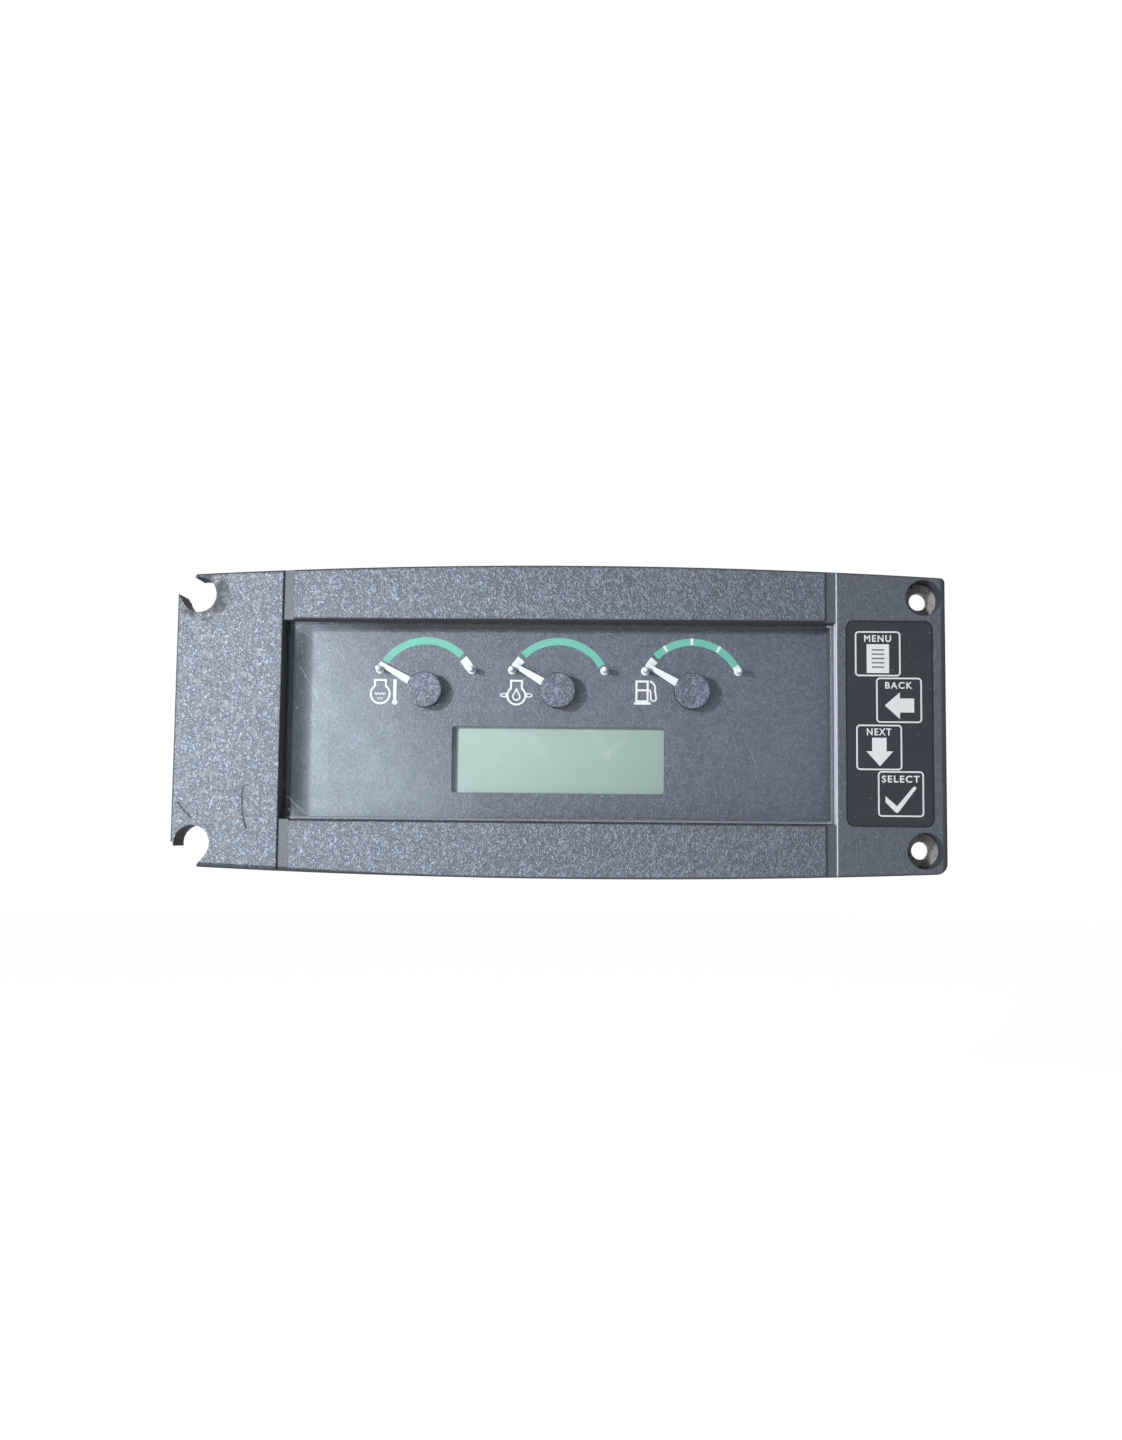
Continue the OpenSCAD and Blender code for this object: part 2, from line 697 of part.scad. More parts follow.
// Plate that fills the display frame between two levels
module frame_filling(y0, y1) {
    side = 2 * (lcd_border - lcd_wall - plate_gap);
    translate([0, 0, lcd_z]) slab(y0, y1) panel(0, 0, lcd_w + side, lcd_h + side);
}

module display_glass() {
    color("#a9c2b6") frame_filling(y_glass, y_guide);
}

module display_light_guide() {
    color("#dfe8d2") frame_filling(y_guide, y_lcd_board);
}

module display_board() {
    color("#1f5a3a") translate([0, 0, lcd_z]) slab(y_lcd_board, y_lcd_back)
        panel(0, 0, lcd_w + 2 * lcd_border, lcd_h + 2 * lcd_border);
}

// Pin strip that carries the display board on the main board
module display_header() {
    strip_w = 40.6;
    strip_z = lcd_z - lcd_h / 2;
    color("#15171a") slab(y_lcd_back, y_board) panel(0, strip_z, strip_w, 2.5);
}

// Keypad

module keypad_overlay() {
    color("#2f3238") slab(y_film - film_t, y_film) translate([pad_x, 0])
        polygon(rounded(pad_w, pad_h, pad_r));
}

// Plunger under one key: head, collar behind the bezel wall, and stem into the switch
module plunger(i) {
    color("#c9ccc6") union() {
        rod(key_spots[i], y_plunger, y_collar_back, plunger_d);
        rod(key_spots[i], y_collar, y_collar_back, plunger_d + 2 * plunger_lip);
        rod(key_spots[i], y_collar, y_switch + stem_len - key_travel, stem_d);
    }
}

module key_switches() {
    color("#1a1c1f") for (spot = key_spots) difference() {
        slab(y_switch, y_pad_board) panel(spot[0], spot[1], switch_size, switch_size);
        rod(spot, y_switch - over, y_switch + stem_len + stem_gap, stem_d + 2 * stem_gap);
    }
}

module keypad_board() {
    color("#1f5a3a") difference() {
        slab(y_pad_board, y_pad_back) panel(pad_board_x, 0, pad_board_w, pad_board_h);
        for (spot = pad_posts) rod(spot, y_pad_board - over, y_pad_back + over, pad_pilot_d + 0.4);
    }
}

module keypad_screws() {
    pad_head_h = min(1.2, y_cover - y_pad_back - 0.1);
    color("#b9bcc0") for (spot = pad_posts) {
        rod(spot, y_pad_back, y_pad_back + pad_head_h, pad_head_d);
        rod(spot, y_pad_back - pad_screw_len, y_pad_back, pad_pilot_d - 0.1);
    }
}

// Ribbon levels: it leaves the keypad board's socket, turns round the dial's edge and meets the main board
ribbon_t = 0.3;
ribbon_socket_w = 3.4;
ribbon_socket_h = 2;
ribbon_x = plate_w / 2 + tub_gap_x / 2;
ribbon_y0 = y_pad_back + ribbon_socket_h / 2;
ribbon_y1 = y_board_back + ribbon_socket_h / 2;
ribbon_bend = 0.7;
ribbon_x0 = plate_w / 2 - 1.5;

// Strip of ribbon drawn in X and Y, as the band between two rounded outlines
module ribbon_path(grow) {
    r = ribbon_bend + grow;
    polygon(concat(
        [[ribbon_x0, ribbon_y0 - grow]],
        arc(ribbon_x - ribbon_bend, ribbon_y0 + ribbon_bend, r, 270, 360, 4),
        arc(ribbon_x - ribbon_bend, ribbon_y1 - ribbon_bend, r, 0, 90, 4),
        [[ribbon_x0, ribbon_y1 + grow]]));
}

module keypad_ribbon() {
    color("#c7a35a") translate([0, 0, -ribbon_w / 2]) linear_extrude(ribbon_w) difference() {
        ribbon_path(ribbon_t / 2);
        ribbon_path(-ribbon_t / 2);
    }
}

module keypad_sockets() {
    color("#e9e4d6") {
        slab(y_pad_back, y_pad_back + ribbon_socket_h)
            panel(ribbon_x0 - ribbon_socket_w / 2, 0, ribbon_socket_w, ribbon_socket_len);
        slab(y_board_back, y_board_back + ribbon_socket_h)
            panel(ribbon_x0 - ribbon_socket_w / 2, 0, ribbon_socket_w, ribbon_socket_len);
    }
}

// Main board

module main_board() {
    color("#1c5b39") difference() {
        slab(y_board, y_board_back) polygon(rounded(plate_w, plate_h, plate_r, 3));
        for (x = [-post_x, post_x], z = [-post_z, post_z])
            rod([x, z], y_board - over, y_board_back + over, clear_d);
    }
}

module board_chips() {
    color("#17191b") {
        slab(y_board_back, y_board_back + chip_t) panel(chip_x, chip_z, chip_size, chip_size);
        slab(y_board_back, y_board_back + memory_t) panel(memory_x, memory_z, memory_w, memory_h);
        slab(y_board_back, y_board_back + regulator_t)
            panel(regulator_x, regulator_z, regulator_w, regulator_h);
    }
}

module board_capacitors() {
    color("#3a4a6b") for (x = [can_x - can_pitch, can_x, can_x + can_pitch])
        rod([x, can_z], y_board_back, y_tub_inside - can_room, can_d);
}

// Pan-head screw with a cross recess, driven towards the front, its head on the level given
module screw(spot, y_head, length, d) {
    slot_w = 0.8;
    slot_l = head_d * 0.6;
    slot_d = head_h * 0.6;
    difference() {
        rod(spot, y_head, y_head + head_h, head_d);
        slab(y_head + head_h - slot_d, y_head + head_h + over) {
            panel(spot[0], spot[1], slot_w, slot_l);
            panel(spot[0], spot[1], slot_l, slot_w);
        }
    }
    rod(spot, y_head - length, y_head, d);
}

module board_screws() {
    color("#b9bcc0") for (x = [-post_x, post_x], z = [-post_z, post_z])
        screw([x, z], y_board_back, screw_len, pilot_d - 0.1);
}

// Rear cover

// Tapered, round-edged block: the outside of the cover, or its inside when drawn in by inset
module tub_form(inset, y0, y1) {
    hull() {
        slab(y0, y0 + over) polygon(rounded(tub_w - 2 * inset, tub_h - 2 * inset, tub_r - inset));
        for (a = [0, 45, 90]) {
            drawn_in = inset + tub_draft + tub_round * (1 - cos(a));
            y_end = y1 - tub_round * (1 - sin(a));
            slab(y_end - over, y_end)
                polygon(rounded(tub_w - 2 * drawn_in, tub_h - 2 * drawn_in,
                    max(tub_r - inset - tub_round * (1 - cos(a)), 0.4)));
        }
    }
}

module rear_cover() {
    color("#33373d") difference() {
        union() {
            slab(y_cover, 0) back_area(cover_gap);
            tub_form(0, -over, tub_depth);
        }
        tub_form(tub_wall, y_cover - over, y_tub_inside);
        for (spot = cover_spots) rod(spot, y_cover - over, over, clear_d);
        slab(y_tub_inside - over, tub_depth + over)
            panel(socket_x, 0, socket_w - 2 * socket_wall, socket_h - 2 * socket_wall);
        rod([vent_x, 0], y_tub_inside - over, tub_depth + over, vent_stem_d + 2 * plate_gap);
    }
}

module cover_seal() {
    color("#101113") slab(y_shelf, y_cover) difference() {
        back_area((seal_shelf - seal_w) / 2);
        back_area((seal_shelf + seal_w) / 2);
    }
}

module cover_screws() {
    color("#a7abb0") for (spot = cover_spots) screw(spot, 0, screw_len, pilot_d - 0.1);
}

// Sealed connector on the back of the cover, open towards the back
module connector_header() {
    mouth_w = socket_w - 2 * socket_wall;
    mouth_h = socket_h - 2 * socket_wall;
    key_w = 4;
    color("#1d1f22") difference() {
        union() {
            slab(tub_depth, tub_depth + socket_flange_t) translate([socket_x, 0])
                polygon(rounded(socket_w + 2 * socket_border, socket_h + 2 * socket_border, 3));
            slab(tub_depth, tub_depth + socket_len) translate([socket_x, 0])
                polygon(rounded(socket_w, socket_h, 2.5));
            slab(y_tub_inside - 2, tub_depth)
                panel(socket_x, 0, mouth_w - 2 * plate_gap, mouth_h - 2 * plate_gap);
            slab(tub_depth, tub_depth + socket_len - 2)
                panel(socket_x, socket_h / 2, key_w * 2, 3);
        }
        slab(tub_depth + socket_flange_t, tub_depth + socket_len + over) translate([socket_x, 0])
            polygon(rounded(mouth_w, mouth_h, 1.5, 3));
        for (spot = contact_spots)
            slab(y_tub_inside - 3, tub_depth + socket_len)
                panel(spot[0], spot[1], contact_size, contact_size);
    }
}

contact_spots = [for (i = [0 : contact_count - 1], s = [-1, 1])
    [socket_x + (i - (contact_count - 1) / 2) * contact_pitch, s * contact_pitch / 2]];

module connector_contacts() {
    color("#c9b46a") for (spot = contact_spots)
        slab(y_board_back, tub_depth + socket_flange_t + 6)
            panel(spot[0], spot[1], contact_size, contact_size);
}

// Breathing plug, its stem pushed through the cover
module vent_plug() {
    cap_h = 2.6;
    color("#15171a") translate([vent_x, y_tub_inside - 2, 0]) rotate([-90, 0, 0])
        rotate_extrude($fn = 48) polygon([
            [0, 0], [vent_stem_d / 2 + 0.5, 0.8], [vent_stem_d / 2 + 0.5, 2], [vent_stem_d / 2, 2],
            [vent_stem_d / 2, tub_wall + 2], [vent_d / 2, tub_wall + 2],
            [vent_d / 2, tub_wall + 2 + cap_h - 0.6], [vent_d / 2 - 0.6, tub_wall + 2 + cap_h],
            [0, tub_wall + 2 + cap_h]
        ]);
}

front_bezel();
bush(hole_z);  // bush_upper
bush(-hole_z);  // bush_lower
lens();
lens_gasket();
dial_plate();
stop_pins();
needle(gauge_xs[0]);  // temperature_needle
hub_cap(gauge_xs[0]);  // temperature_hub_cap
spindle(gauge_xs[0]);  // temperature_spindle
magnet(gauge_xs[0]);  // temperature_magnet
movement(gauge_xs[0]);  // temperature_movement
needle(gauge_xs[1]);  // oil_needle
hub_cap(gauge_xs[1]);  // oil_hub_cap
spindle(gauge_xs[1]);  // oil_spindle
magnet(gauge_xs[1]);  // oil_magnet
movement(gauge_xs[1]);  // oil_movement
needle(gauge_xs[2]);  // fuel_needle
hub_cap(gauge_xs[2]);  // fuel_hub_cap
spindle(gauge_xs[2]);  // fuel_spindle
magnet(gauge_xs[2]);  // fuel_magnet
movement(gauge_xs[2]);  // fuel_movement
display_frame();
display_glass();
display_light_guide();
display_board();
display_header();
keypad_overlay();
plunger(0);  // menu_plunger
plunger(1);  // back_plunger
plunger(2);  // next_plunger
plunger(3);  // select_plunger
key_switches();
keypad_board();
keypad_screws();
keypad_sockets();
keypad_ribbon();
main_board();
board_chips();
board_capacitors();
board_screws();
rear_cover();
cover_seal();
cover_screws();
connector_header();
connector_contacts();
vent_plug();
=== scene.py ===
"""Looks of a panel-mounted engine monitor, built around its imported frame.

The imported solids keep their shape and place. This script gives each of them its finish, lays the printed
scales, symbols and key legends on the dial and on the keypad film, and sets up the studio. Lengths are metres
in the frame's own axes: +X right and +Z up as seen from the front, -Y towards the viewer. Print is drawn in
millimetres, because it is laid out to the nearest tenth of one.
"""

import logging
import math
from dataclasses import dataclass
from enum import Enum
from typing import ClassVar, Self

import bmesh
import bpy
from mathutils import Matrix, Quaternion, Vector


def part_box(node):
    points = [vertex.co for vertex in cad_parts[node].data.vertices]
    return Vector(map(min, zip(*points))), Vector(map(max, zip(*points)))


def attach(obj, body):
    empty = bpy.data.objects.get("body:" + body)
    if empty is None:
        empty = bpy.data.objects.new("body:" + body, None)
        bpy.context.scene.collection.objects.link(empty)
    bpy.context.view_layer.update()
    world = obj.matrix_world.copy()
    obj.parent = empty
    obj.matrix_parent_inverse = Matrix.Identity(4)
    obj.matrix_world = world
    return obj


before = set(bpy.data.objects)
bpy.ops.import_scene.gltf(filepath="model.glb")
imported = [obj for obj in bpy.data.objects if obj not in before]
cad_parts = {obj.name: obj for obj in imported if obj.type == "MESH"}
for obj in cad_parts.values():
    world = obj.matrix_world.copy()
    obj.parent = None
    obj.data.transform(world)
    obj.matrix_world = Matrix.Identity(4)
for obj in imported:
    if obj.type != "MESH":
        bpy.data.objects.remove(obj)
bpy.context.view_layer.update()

MM = 0.001
Colour = tuple[float, float, float]
Point = tuple[float, float]
Socket = bpy.types.NodeSocket
Sockets = bpy.types.NodeOutputs
log = logging.getLogger("monitor")

BLACK: Colour = (0.0, 0.0, 0.0)
WHITE: Colour = (1.0, 1.0, 1.0)
DUST: Colour = (0.46, 0.48, 0.52)
# A place times this loses its depth.
FLAT = (1.0, 0.0, 1.0)
# The grain's heights between which the roughness changes.
MID_HEIGHT = (0.2, 0.8)


class Pattern(Enum):
    """Shader groups that the finishes share: the name, the inputs and the outputs of each."""

    WORM_GRAIN = ("worm grain", "Size", "Height Crest")
    CLOUD = ("cloud", "Size Seed", "Value")
    SPECKS = ("specks", "Size Share Seed", "Mask")
    ROUND_MARK = ("round mark", "Centre Radius Soft", "Mask")
    LINE_MARK = ("line mark", "Start End Width", "Mask")


class Graph:
    """Short calls for laying nodes in a material, in the world or in a shader group."""

    def __init__(self, tree: bpy.types.NodeTree) -> None:
        """Takes over an empty node tree."""
        self.tree = tree

    @classmethod
    def of(cls, owner: bpy.types.Material | bpy.types.World) -> Self:
        """Empties the nodes of a material or world and returns a graph that fills them."""
        owner.use_nodes = True
        owner.node_tree.nodes.clear()
        return cls(owner.node_tree)

    def feed(self, socket: Socket, value: object) -> None:
        """Links an output to an input, or sets the input to a number, a vector or a colour."""
        if isinstance(value, bpy.types.NodeSocket):
            self.tree.links.new(value, socket)
        else:
            socket.default_value = value

    def node(self, kind: str, inputs: dict[str | int, object] | None = None, **settings: object) -> bpy.types.Node:
        """Adds a shader node.

        Args:
            kind: the node's type without its ShaderNode prefix.
            inputs: what each input gets, by name or number.
            settings: the node's own properties.

        Returns:
            The node.
        """
        made = self.tree.nodes.new("ShaderNode" + kind)
        for key, value in settings.items():
            setattr(made, key, value)
        for key, value in (inputs or {}).items():
            self.feed(made.inputs[key], value)
        return made

    def maths(self, operation: str, first: object, second: object = 0.0, clamp: bool = False) -> Socket:
        """Adds a Math node and returns its output."""
        return self.node("Math", {0: first, 1: second}, operation=operation, use_clamp=clamp).outputs[0]

    def minus(self, first: object, second: object, clamp: bool = False) -> Socket:
        """Takes the second value off the first."""
        return self.maths("SUBTRACT", first, second, clamp)

    def vector(self, operation: str, *values: object, output: str = "Vector") -> Socket:
        """Adds a Vector Math node and returns one of its outputs."""
        return self.node("VectorMath", dict(enumerate(values)), operation=operation).outputs[output]

    def fold(self, operation: str, *values: object) -> Socket:
        """Joins two or more values by a Math operation and returns the result."""
        joined = values[0]
        for value in values[1:]:
            joined = self.maths(operation, joined, value)
        return joined

    def product(self, *factors: object) -> Socket:
        """Multiplies two or more values."""
        return self.fold("MULTIPLY", *factors)

    def highest(self, *values: object) -> Socket:
        """Returns the greatest of two or more values."""
        return self.fold("MAXIMUM", *values)

    def ramp(self, value: object, low: float, high: float, start: float = 0.0, stop: float = 1.0) -> Socket:
        """Maps a value from one range to another, held at both ends.

        Args:
            value: what is mapped.
            low: the value that gives start.
            high: the value that gives stop.
            start: the result at and beyond low.
            stop: the result at and beyond high.

        Returns:
            The mapped output.
        """
        made = self.node("MapRange", {"Value": value, "From Min": low, "From Max": high,
                                      "To Min": start, "To Max": stop}, clamp=True)
        return made.outputs["Result"]

    def blend(self, share: object, start: float, stop: float) -> Socket:
        """Returns what lies between two numbers at a share from 0 to 1."""
        return self.ramp(share, 0.0, 1.0, start, stop)

    def mix(self, factor: object, first: object, second: object) -> Socket:
        """Mixes two colours and returns the result; colours are given as three numbers or as a socket."""
        made = self.tree.nodes.new("ShaderNodeMix")
        made.data_type = "RGBA"
        self.feed(made.inputs[0], factor)
        for socket, value in ((made.inputs[6], first), (made.inputs[7], second)):
            self.feed(socket, value if isinstance(value, bpy.types.NodeSocket) else (*value, 1.0))
        return made.outputs[2]

    def noise(self, place: Socket, scale: object, detail: float, **inputs: float) -> bpy.types.Node:
        """Adds a noise texture; inputs are its other sockets."""
        return self.node("TexNoise", {"Vector": place, "Scale": scale, "Detail": detail, **inputs})

    def place(self) -> Socket:
        """Returns the object coordinates."""
        return self.node("TexCoord").outputs["Object"]

    def axes(self, vector: Socket) -> tuple[Socket, Socket, Socket]:
        """Splits a vector and returns its X, Y and Z."""
        made = self.node("SeparateXYZ", {0: vector})
        return made.outputs[0], made.outputs[1], made.outputs[2]


class PatternShop:
    """Builds each shader group once and places it wherever a finish asks for it.

    Every builder gets the group's graph and its inputs, and returns what its outputs give. Lengths are in metres.
    """

    VECTORS = ("Centre", "Start", "End")

    def __init__(self) -> None:
        """Starts with no group built."""
        self.trees: dict[Pattern, bpy.types.NodeTree] = {}
        self.builders = {Pattern.WORM_GRAIN: self.worm_grain, Pattern.CLOUD: self.cloud, Pattern.SPECKS: self.specks,
                         Pattern.ROUND_MARK: self.round_mark, Pattern.LINE_MARK: self.line_mark}

    def add(self, graph: Graph, pattern: Pattern, **values: object) -> Sockets:
        """Places a pattern in a graph.

        Args:
            graph: where it goes.
            pattern: which one.
            values: its inputs, by their names in lower case.

        Returns:
            The group node's outputs.
        """
        if pattern not in self.trees:
            self.trees[pattern] = self.build(pattern)
        made = graph.node("Group", node_tree=self.trees[pattern])
        for name, value in values.items():
            graph.feed(made.inputs[name.capitalize()], value)
        return made.outputs

    def build(self, pattern: Pattern) -> bpy.types.NodeTree:
        """Builds a group and returns it."""
        title, inputs, outputs = pattern.value
        tree = bpy.data.node_groups.new(title, "ShaderNodeTree")
        for name in inputs.split():
            kind = "Vector" if name in self.VECTORS else "Float"
            tree.interface.new_socket(name, in_out="INPUT", socket_type="NodeSocket" + kind)
        for name in outputs.split():
            tree.interface.new_socket(name, in_out="OUTPUT", socket_type="NodeSocketFloat")
        graph = Graph(tree)
        given = tree.nodes.new("NodeGroupInput").outputs
        sink = tree.nodes.new("NodeGroupOutput").inputs
        for socket, value in zip(sink, self.builders[pattern](graph, given)):
            graph.feed(socket, value)
        return tree

    def worm_grain(self, graph: Graph, given: Sockets) -> tuple[Socket, ...]:
        """Lays the wrinkle of moulded plastic: short winding ridges and a finer grain between them.

        Args:
            graph: the group's graph.
            given: Size is the ridges' spacing.

        Returns:
            The relief's height, and a mask that is high on the ridges' tops only.
        """
        place = graph.place()
        scale = graph.maths("DIVIDE", 1.0, given["Size"])
        winding = graph.noise(place, scale, 1.5, Roughness=0.45, Distortion=0.7).outputs[0]
        off_middle = graph.maths("ABSOLUTE", graph.minus(winding, 0.5))
        ridge = graph.ramp(off_middle, 0.0, 0.13, 1.0, 0.0)
        top = graph.ramp(off_middle, 0.03, 0.09, 1.0, 0.0)
        fine = graph.noise(place, graph.product(scale, 2.6), 2.0).outputs[0]
        gap = graph.ramp(graph.noise(place, graph.product(scale, 0.4), 1.0).outputs[0], 0.25, 0.5)
        height = graph.maths("ADD", graph.product(ridge, gap, 0.6), graph.product(fine, 0.5))
        return height, graph.product(top, gap, graph.ramp(fine, 0.35, 0.5))

    @staticmethod
    def scattered(graph: Graph, given: Sockets) -> dict[str, Socket]:
        """Returns a texture's Vector, moved by the group's Seed, and its Scale for the group's Size."""
        return {"Vector": graph.vector("ADD", graph.place(), given["Seed"]),
                "Scale": graph.maths("DIVIDE", 1.0, given["Size"])}

    def cloud(self, graph: Graph, given: Sockets) -> tuple[Socket, ...]:
        """Lays soft blotches from 0 to 1, Size apart and moved by Seed."""
        noise = graph.node("TexNoise", {**self.scattered(graph, given), "Detail": 4.0, "Roughness": 0.6})
        return (graph.ramp(noise.outputs[0], 0.3, 0.7),)

    def specks(self, graph: Graph, given: Sockets) -> tuple[Socket, ...]:
        """Lays scattered dots. Size is their spacing and Share how many of the cells hold one."""
        cells = graph.node("TexVoronoi", self.scattered(graph, given))
        chosen = graph.maths("LESS_THAN", graph.axes(cells.outputs["Color"])[0], given["Share"])
        return (graph.product(chosen, graph.ramp(cells.outputs["Distance"], 0.12, 0.32, 1.0, 0.0)),)

    def round_mark(self, graph: Graph, given: Sockets) -> tuple[Socket, ...]:
        """Lays a disc seen from the front, whose edge is Soft wide."""
        arm = graph.vector("SUBTRACT", graph.place(), given["Centre"])
        reach = graph.vector("LENGTH", graph.vector("MULTIPLY", arm, FLAT), output="Value")
        return (graph.maths("DIVIDE", graph.minus(given["Radius"], reach), given["Soft"], clamp=True),)

    def line_mark(self, graph: Graph, given: Sockets) -> tuple[Socket, ...]:
        """Lays a slightly crooked line seen from the front, from Start to End and Width wide."""
        place = graph.place()
        wander = graph.noise(place, 220.0, 2.0).outputs["Color"]
        nudge = graph.vector("SUBTRACT", wander, (0.5, 0.5, 0.5))
        nudged = graph.vector("MULTIPLY_ADD", nudge, (1.6 * MM, 0.0, 1.6 * MM), place)
        arm = graph.vector("MULTIPLY", graph.vector("SUBTRACT", nudged, given["Start"]), FLAT)
        line = graph.vector("SUBTRACT", given["End"], given["Start"])
        along, square = (graph.vector("DOT_PRODUCT", other, line, output="Value") for other in (arm, line))
        share = graph.maths("DIVIDE", along, square, clamp=True)
        foot = graph.node("VectorMath", {0: line, "Scale": share}, operation="SCALE").outputs[0]
        gap = graph.maths("DIVIDE", graph.vector("DISTANCE", arm, foot, output="Value"), given["Width"])
        return (graph.maths("MULTIPLY", graph.minus(1.0, gap), 2.0, clamp=True),)


PATTERNS = PatternShop()


class Paint(Graph):
    """A material's graph with its surface shader. The shared patterns get their places and sizes in millimetres."""

    def __init__(self, tree: bpy.types.NodeTree) -> None:
        """Takes over an empty node tree and adds the shader."""
        super().__init__(tree)
        self.shader = self.node("BsdfPrincipled")
        self.node("OutputMaterial", {"Surface": self.shader.outputs[0]})

    def surface(self, inputs: dict[str, object]) -> None:
        """Feeds inputs of the surface shader, by their names."""
        for name, value in inputs.items():
            self.feed(self.shader.inputs[name], value)

    def normal(self) -> Socket:
        """Returns the surface's normal in the object's own axes."""
        return self.node("TexCoord").outputs["Normal"]

    def grain(self, size: float) -> tuple[Socket, Socket]:
        """Adds the wrinkle, whose size is in metres, and returns its height and its ridges' tops."""
        outputs = PATTERNS.add(self, Pattern.WORM_GRAIN, size=size)
        return outputs[0], outputs[1]

    def cloud(self, size: float, seed: float) -> Socket:
        """Adds soft blotches."""
        return PATTERNS.add(self, Pattern.CLOUD, size=size * MM, seed=seed)[0]

    def specks(self, size: float, share: float, seed: float) -> Socket:
        """Adds scattered dots."""
        return PATTERNS.add(self, Pattern.SPECKS, size=size * MM, share=share, seed=seed)[0]

    def disc(self, centre: Point, radius: float, soft: float) -> Socket:
        """Adds a round mark seen from the front."""
        return PATTERNS.add(self, Pattern.ROUND_MARK, centre=on_front(*centre), radius=radius * MM, soft=soft * MM)[0]

    def line(self, start: Point, end: Point, width: float) -> Socket:
        """Adds a slightly crooked line seen from the front."""
        return PATTERNS.add(self, Pattern.LINE_MARK, start=on_front(*start), end=on_front(*end), width=width * MM)[0]


def on_front(x: float, z: float) -> tuple[float, float, float]:
    """Turns a place on the front, in millimetres, into a point in metres."""
    return (x * MM, 0.0, z * MM)


@dataclass(frozen=True)
class Finish:
    """A plain finish: one mottled colour, a grain in its relief, and a sheen.

    Attributes:
        name: the material's name.
        colour: the middle colour, linear.
        roughness: the middle roughness.
        metallic: 0 for plastic, 1 for metal.
        grain: spacing of the grain, in metres.
        relief: height of the grain, in metres.
        mottle: the share by which blotches change the colour.
        gloss: the specular level, where 0.5 is plain plastic.
        dust: share of the surface's cells that hold a pale speck.
        shade: painted shade, the share by which faces that look aside are painted darker than the front.
        crest: how many times lighter the ridges' tops are painted where the finish is shaded; part grain, part
            painted highlight.
        aside: the normal's Y at which a face starts to look aside and at which it does so fully.
        sheen: how many times rougher the finish is in the grain's valleys and on its tops.
    """

    name: str
    colour: Colour
    roughness: float = 0.5
    metallic: float = 0.0
    grain: float = 0.7 * MM
    relief: float = 0.02 * MM
    mottle: float = 0.1
    gloss: float = 0.5
    dust: float = 0.0
    shade: float = 0.0
    crest: float = 1.8
    aside: Point = (-0.9, -0.6)
    sheen: Point = (1.1, 0.9)

    def material(self) -> bpy.types.Material:
        """Returns the material, which is built at its first use."""
        if self.name in bpy.data.materials:
            return bpy.data.materials[self.name]
        made = bpy.data.materials.new(self.name)
        paint = Paint.of(made)
        paint.surface({"Metallic": self.metallic, "Specular IOR Level": self.gloss})
        self.dress(paint)
        return made

    def dress(self, paint: Paint) -> None:
        """Feeds the surface shader."""
        height, crest = paint.grain(self.grain)
        colour = self.base(paint)
        rough = self.rough(paint, height)
        if self.shade:
            # Ridge tops painted lighter: part of the grain, part painted highlight.
            colour = paint.mix(crest, colour, self.tint(self.crest))
            # Painted shade: faces that look aside are darkened towards black by the share shade.
            aside = paint.ramp(paint.axes(paint.normal())[1], *self.aside)
            colour = paint.mix(paint.product(aside, self.shade), colour, BLACK)
            rough = paint.highest(rough, aside)
            height = paint.product(height, paint.blend(aside, 1.0, 0.1))
        self.coat(paint, colour, rough, height)

    def rough(self, paint: Paint, height: Socket) -> Socket:
        """Returns the roughness for the grain's height."""
        return paint.ramp(height, *MID_HEIGHT, *(self.roughness * factor for factor in self.sheen))

    def tint(self, factor: float) -> Colour:
        """Returns the colour made lighter or darker by a factor."""
        return tuple(min(1.0, channel * factor) for channel in self.colour)

    def base(self, paint: Paint) -> Socket:
        """Returns the mottled and dusty colour."""
        colour = paint.mix(paint.cloud(12, 0.3), self.tint(1 - self.mottle), self.tint(1 + self.mottle))
        if self.dust:
            colour = paint.mix(paint.product(paint.specks(0.9, self.dust, 0.7), 0.5), colour, DUST)
        return colour

    def coat(self, paint: Paint, colour: Socket, rough: Socket, height: Socket | None = None) -> None:
        """Feeds the surface shader's colour, roughness and normal.

        Args:
            paint: the material's graph.
            colour: the colour.
            rough: the roughness.
            height: the relief as a share of the finish's own, if it has any.
        """
        paint.surface({"Base Color": colour, "Roughness": rough})
        if height is not None:
            bump = paint.node("Bump", {"Strength": 1.0, "Distance": self.relief, "Height": height})
            paint.surface({"Normal": bump.outputs[0]})


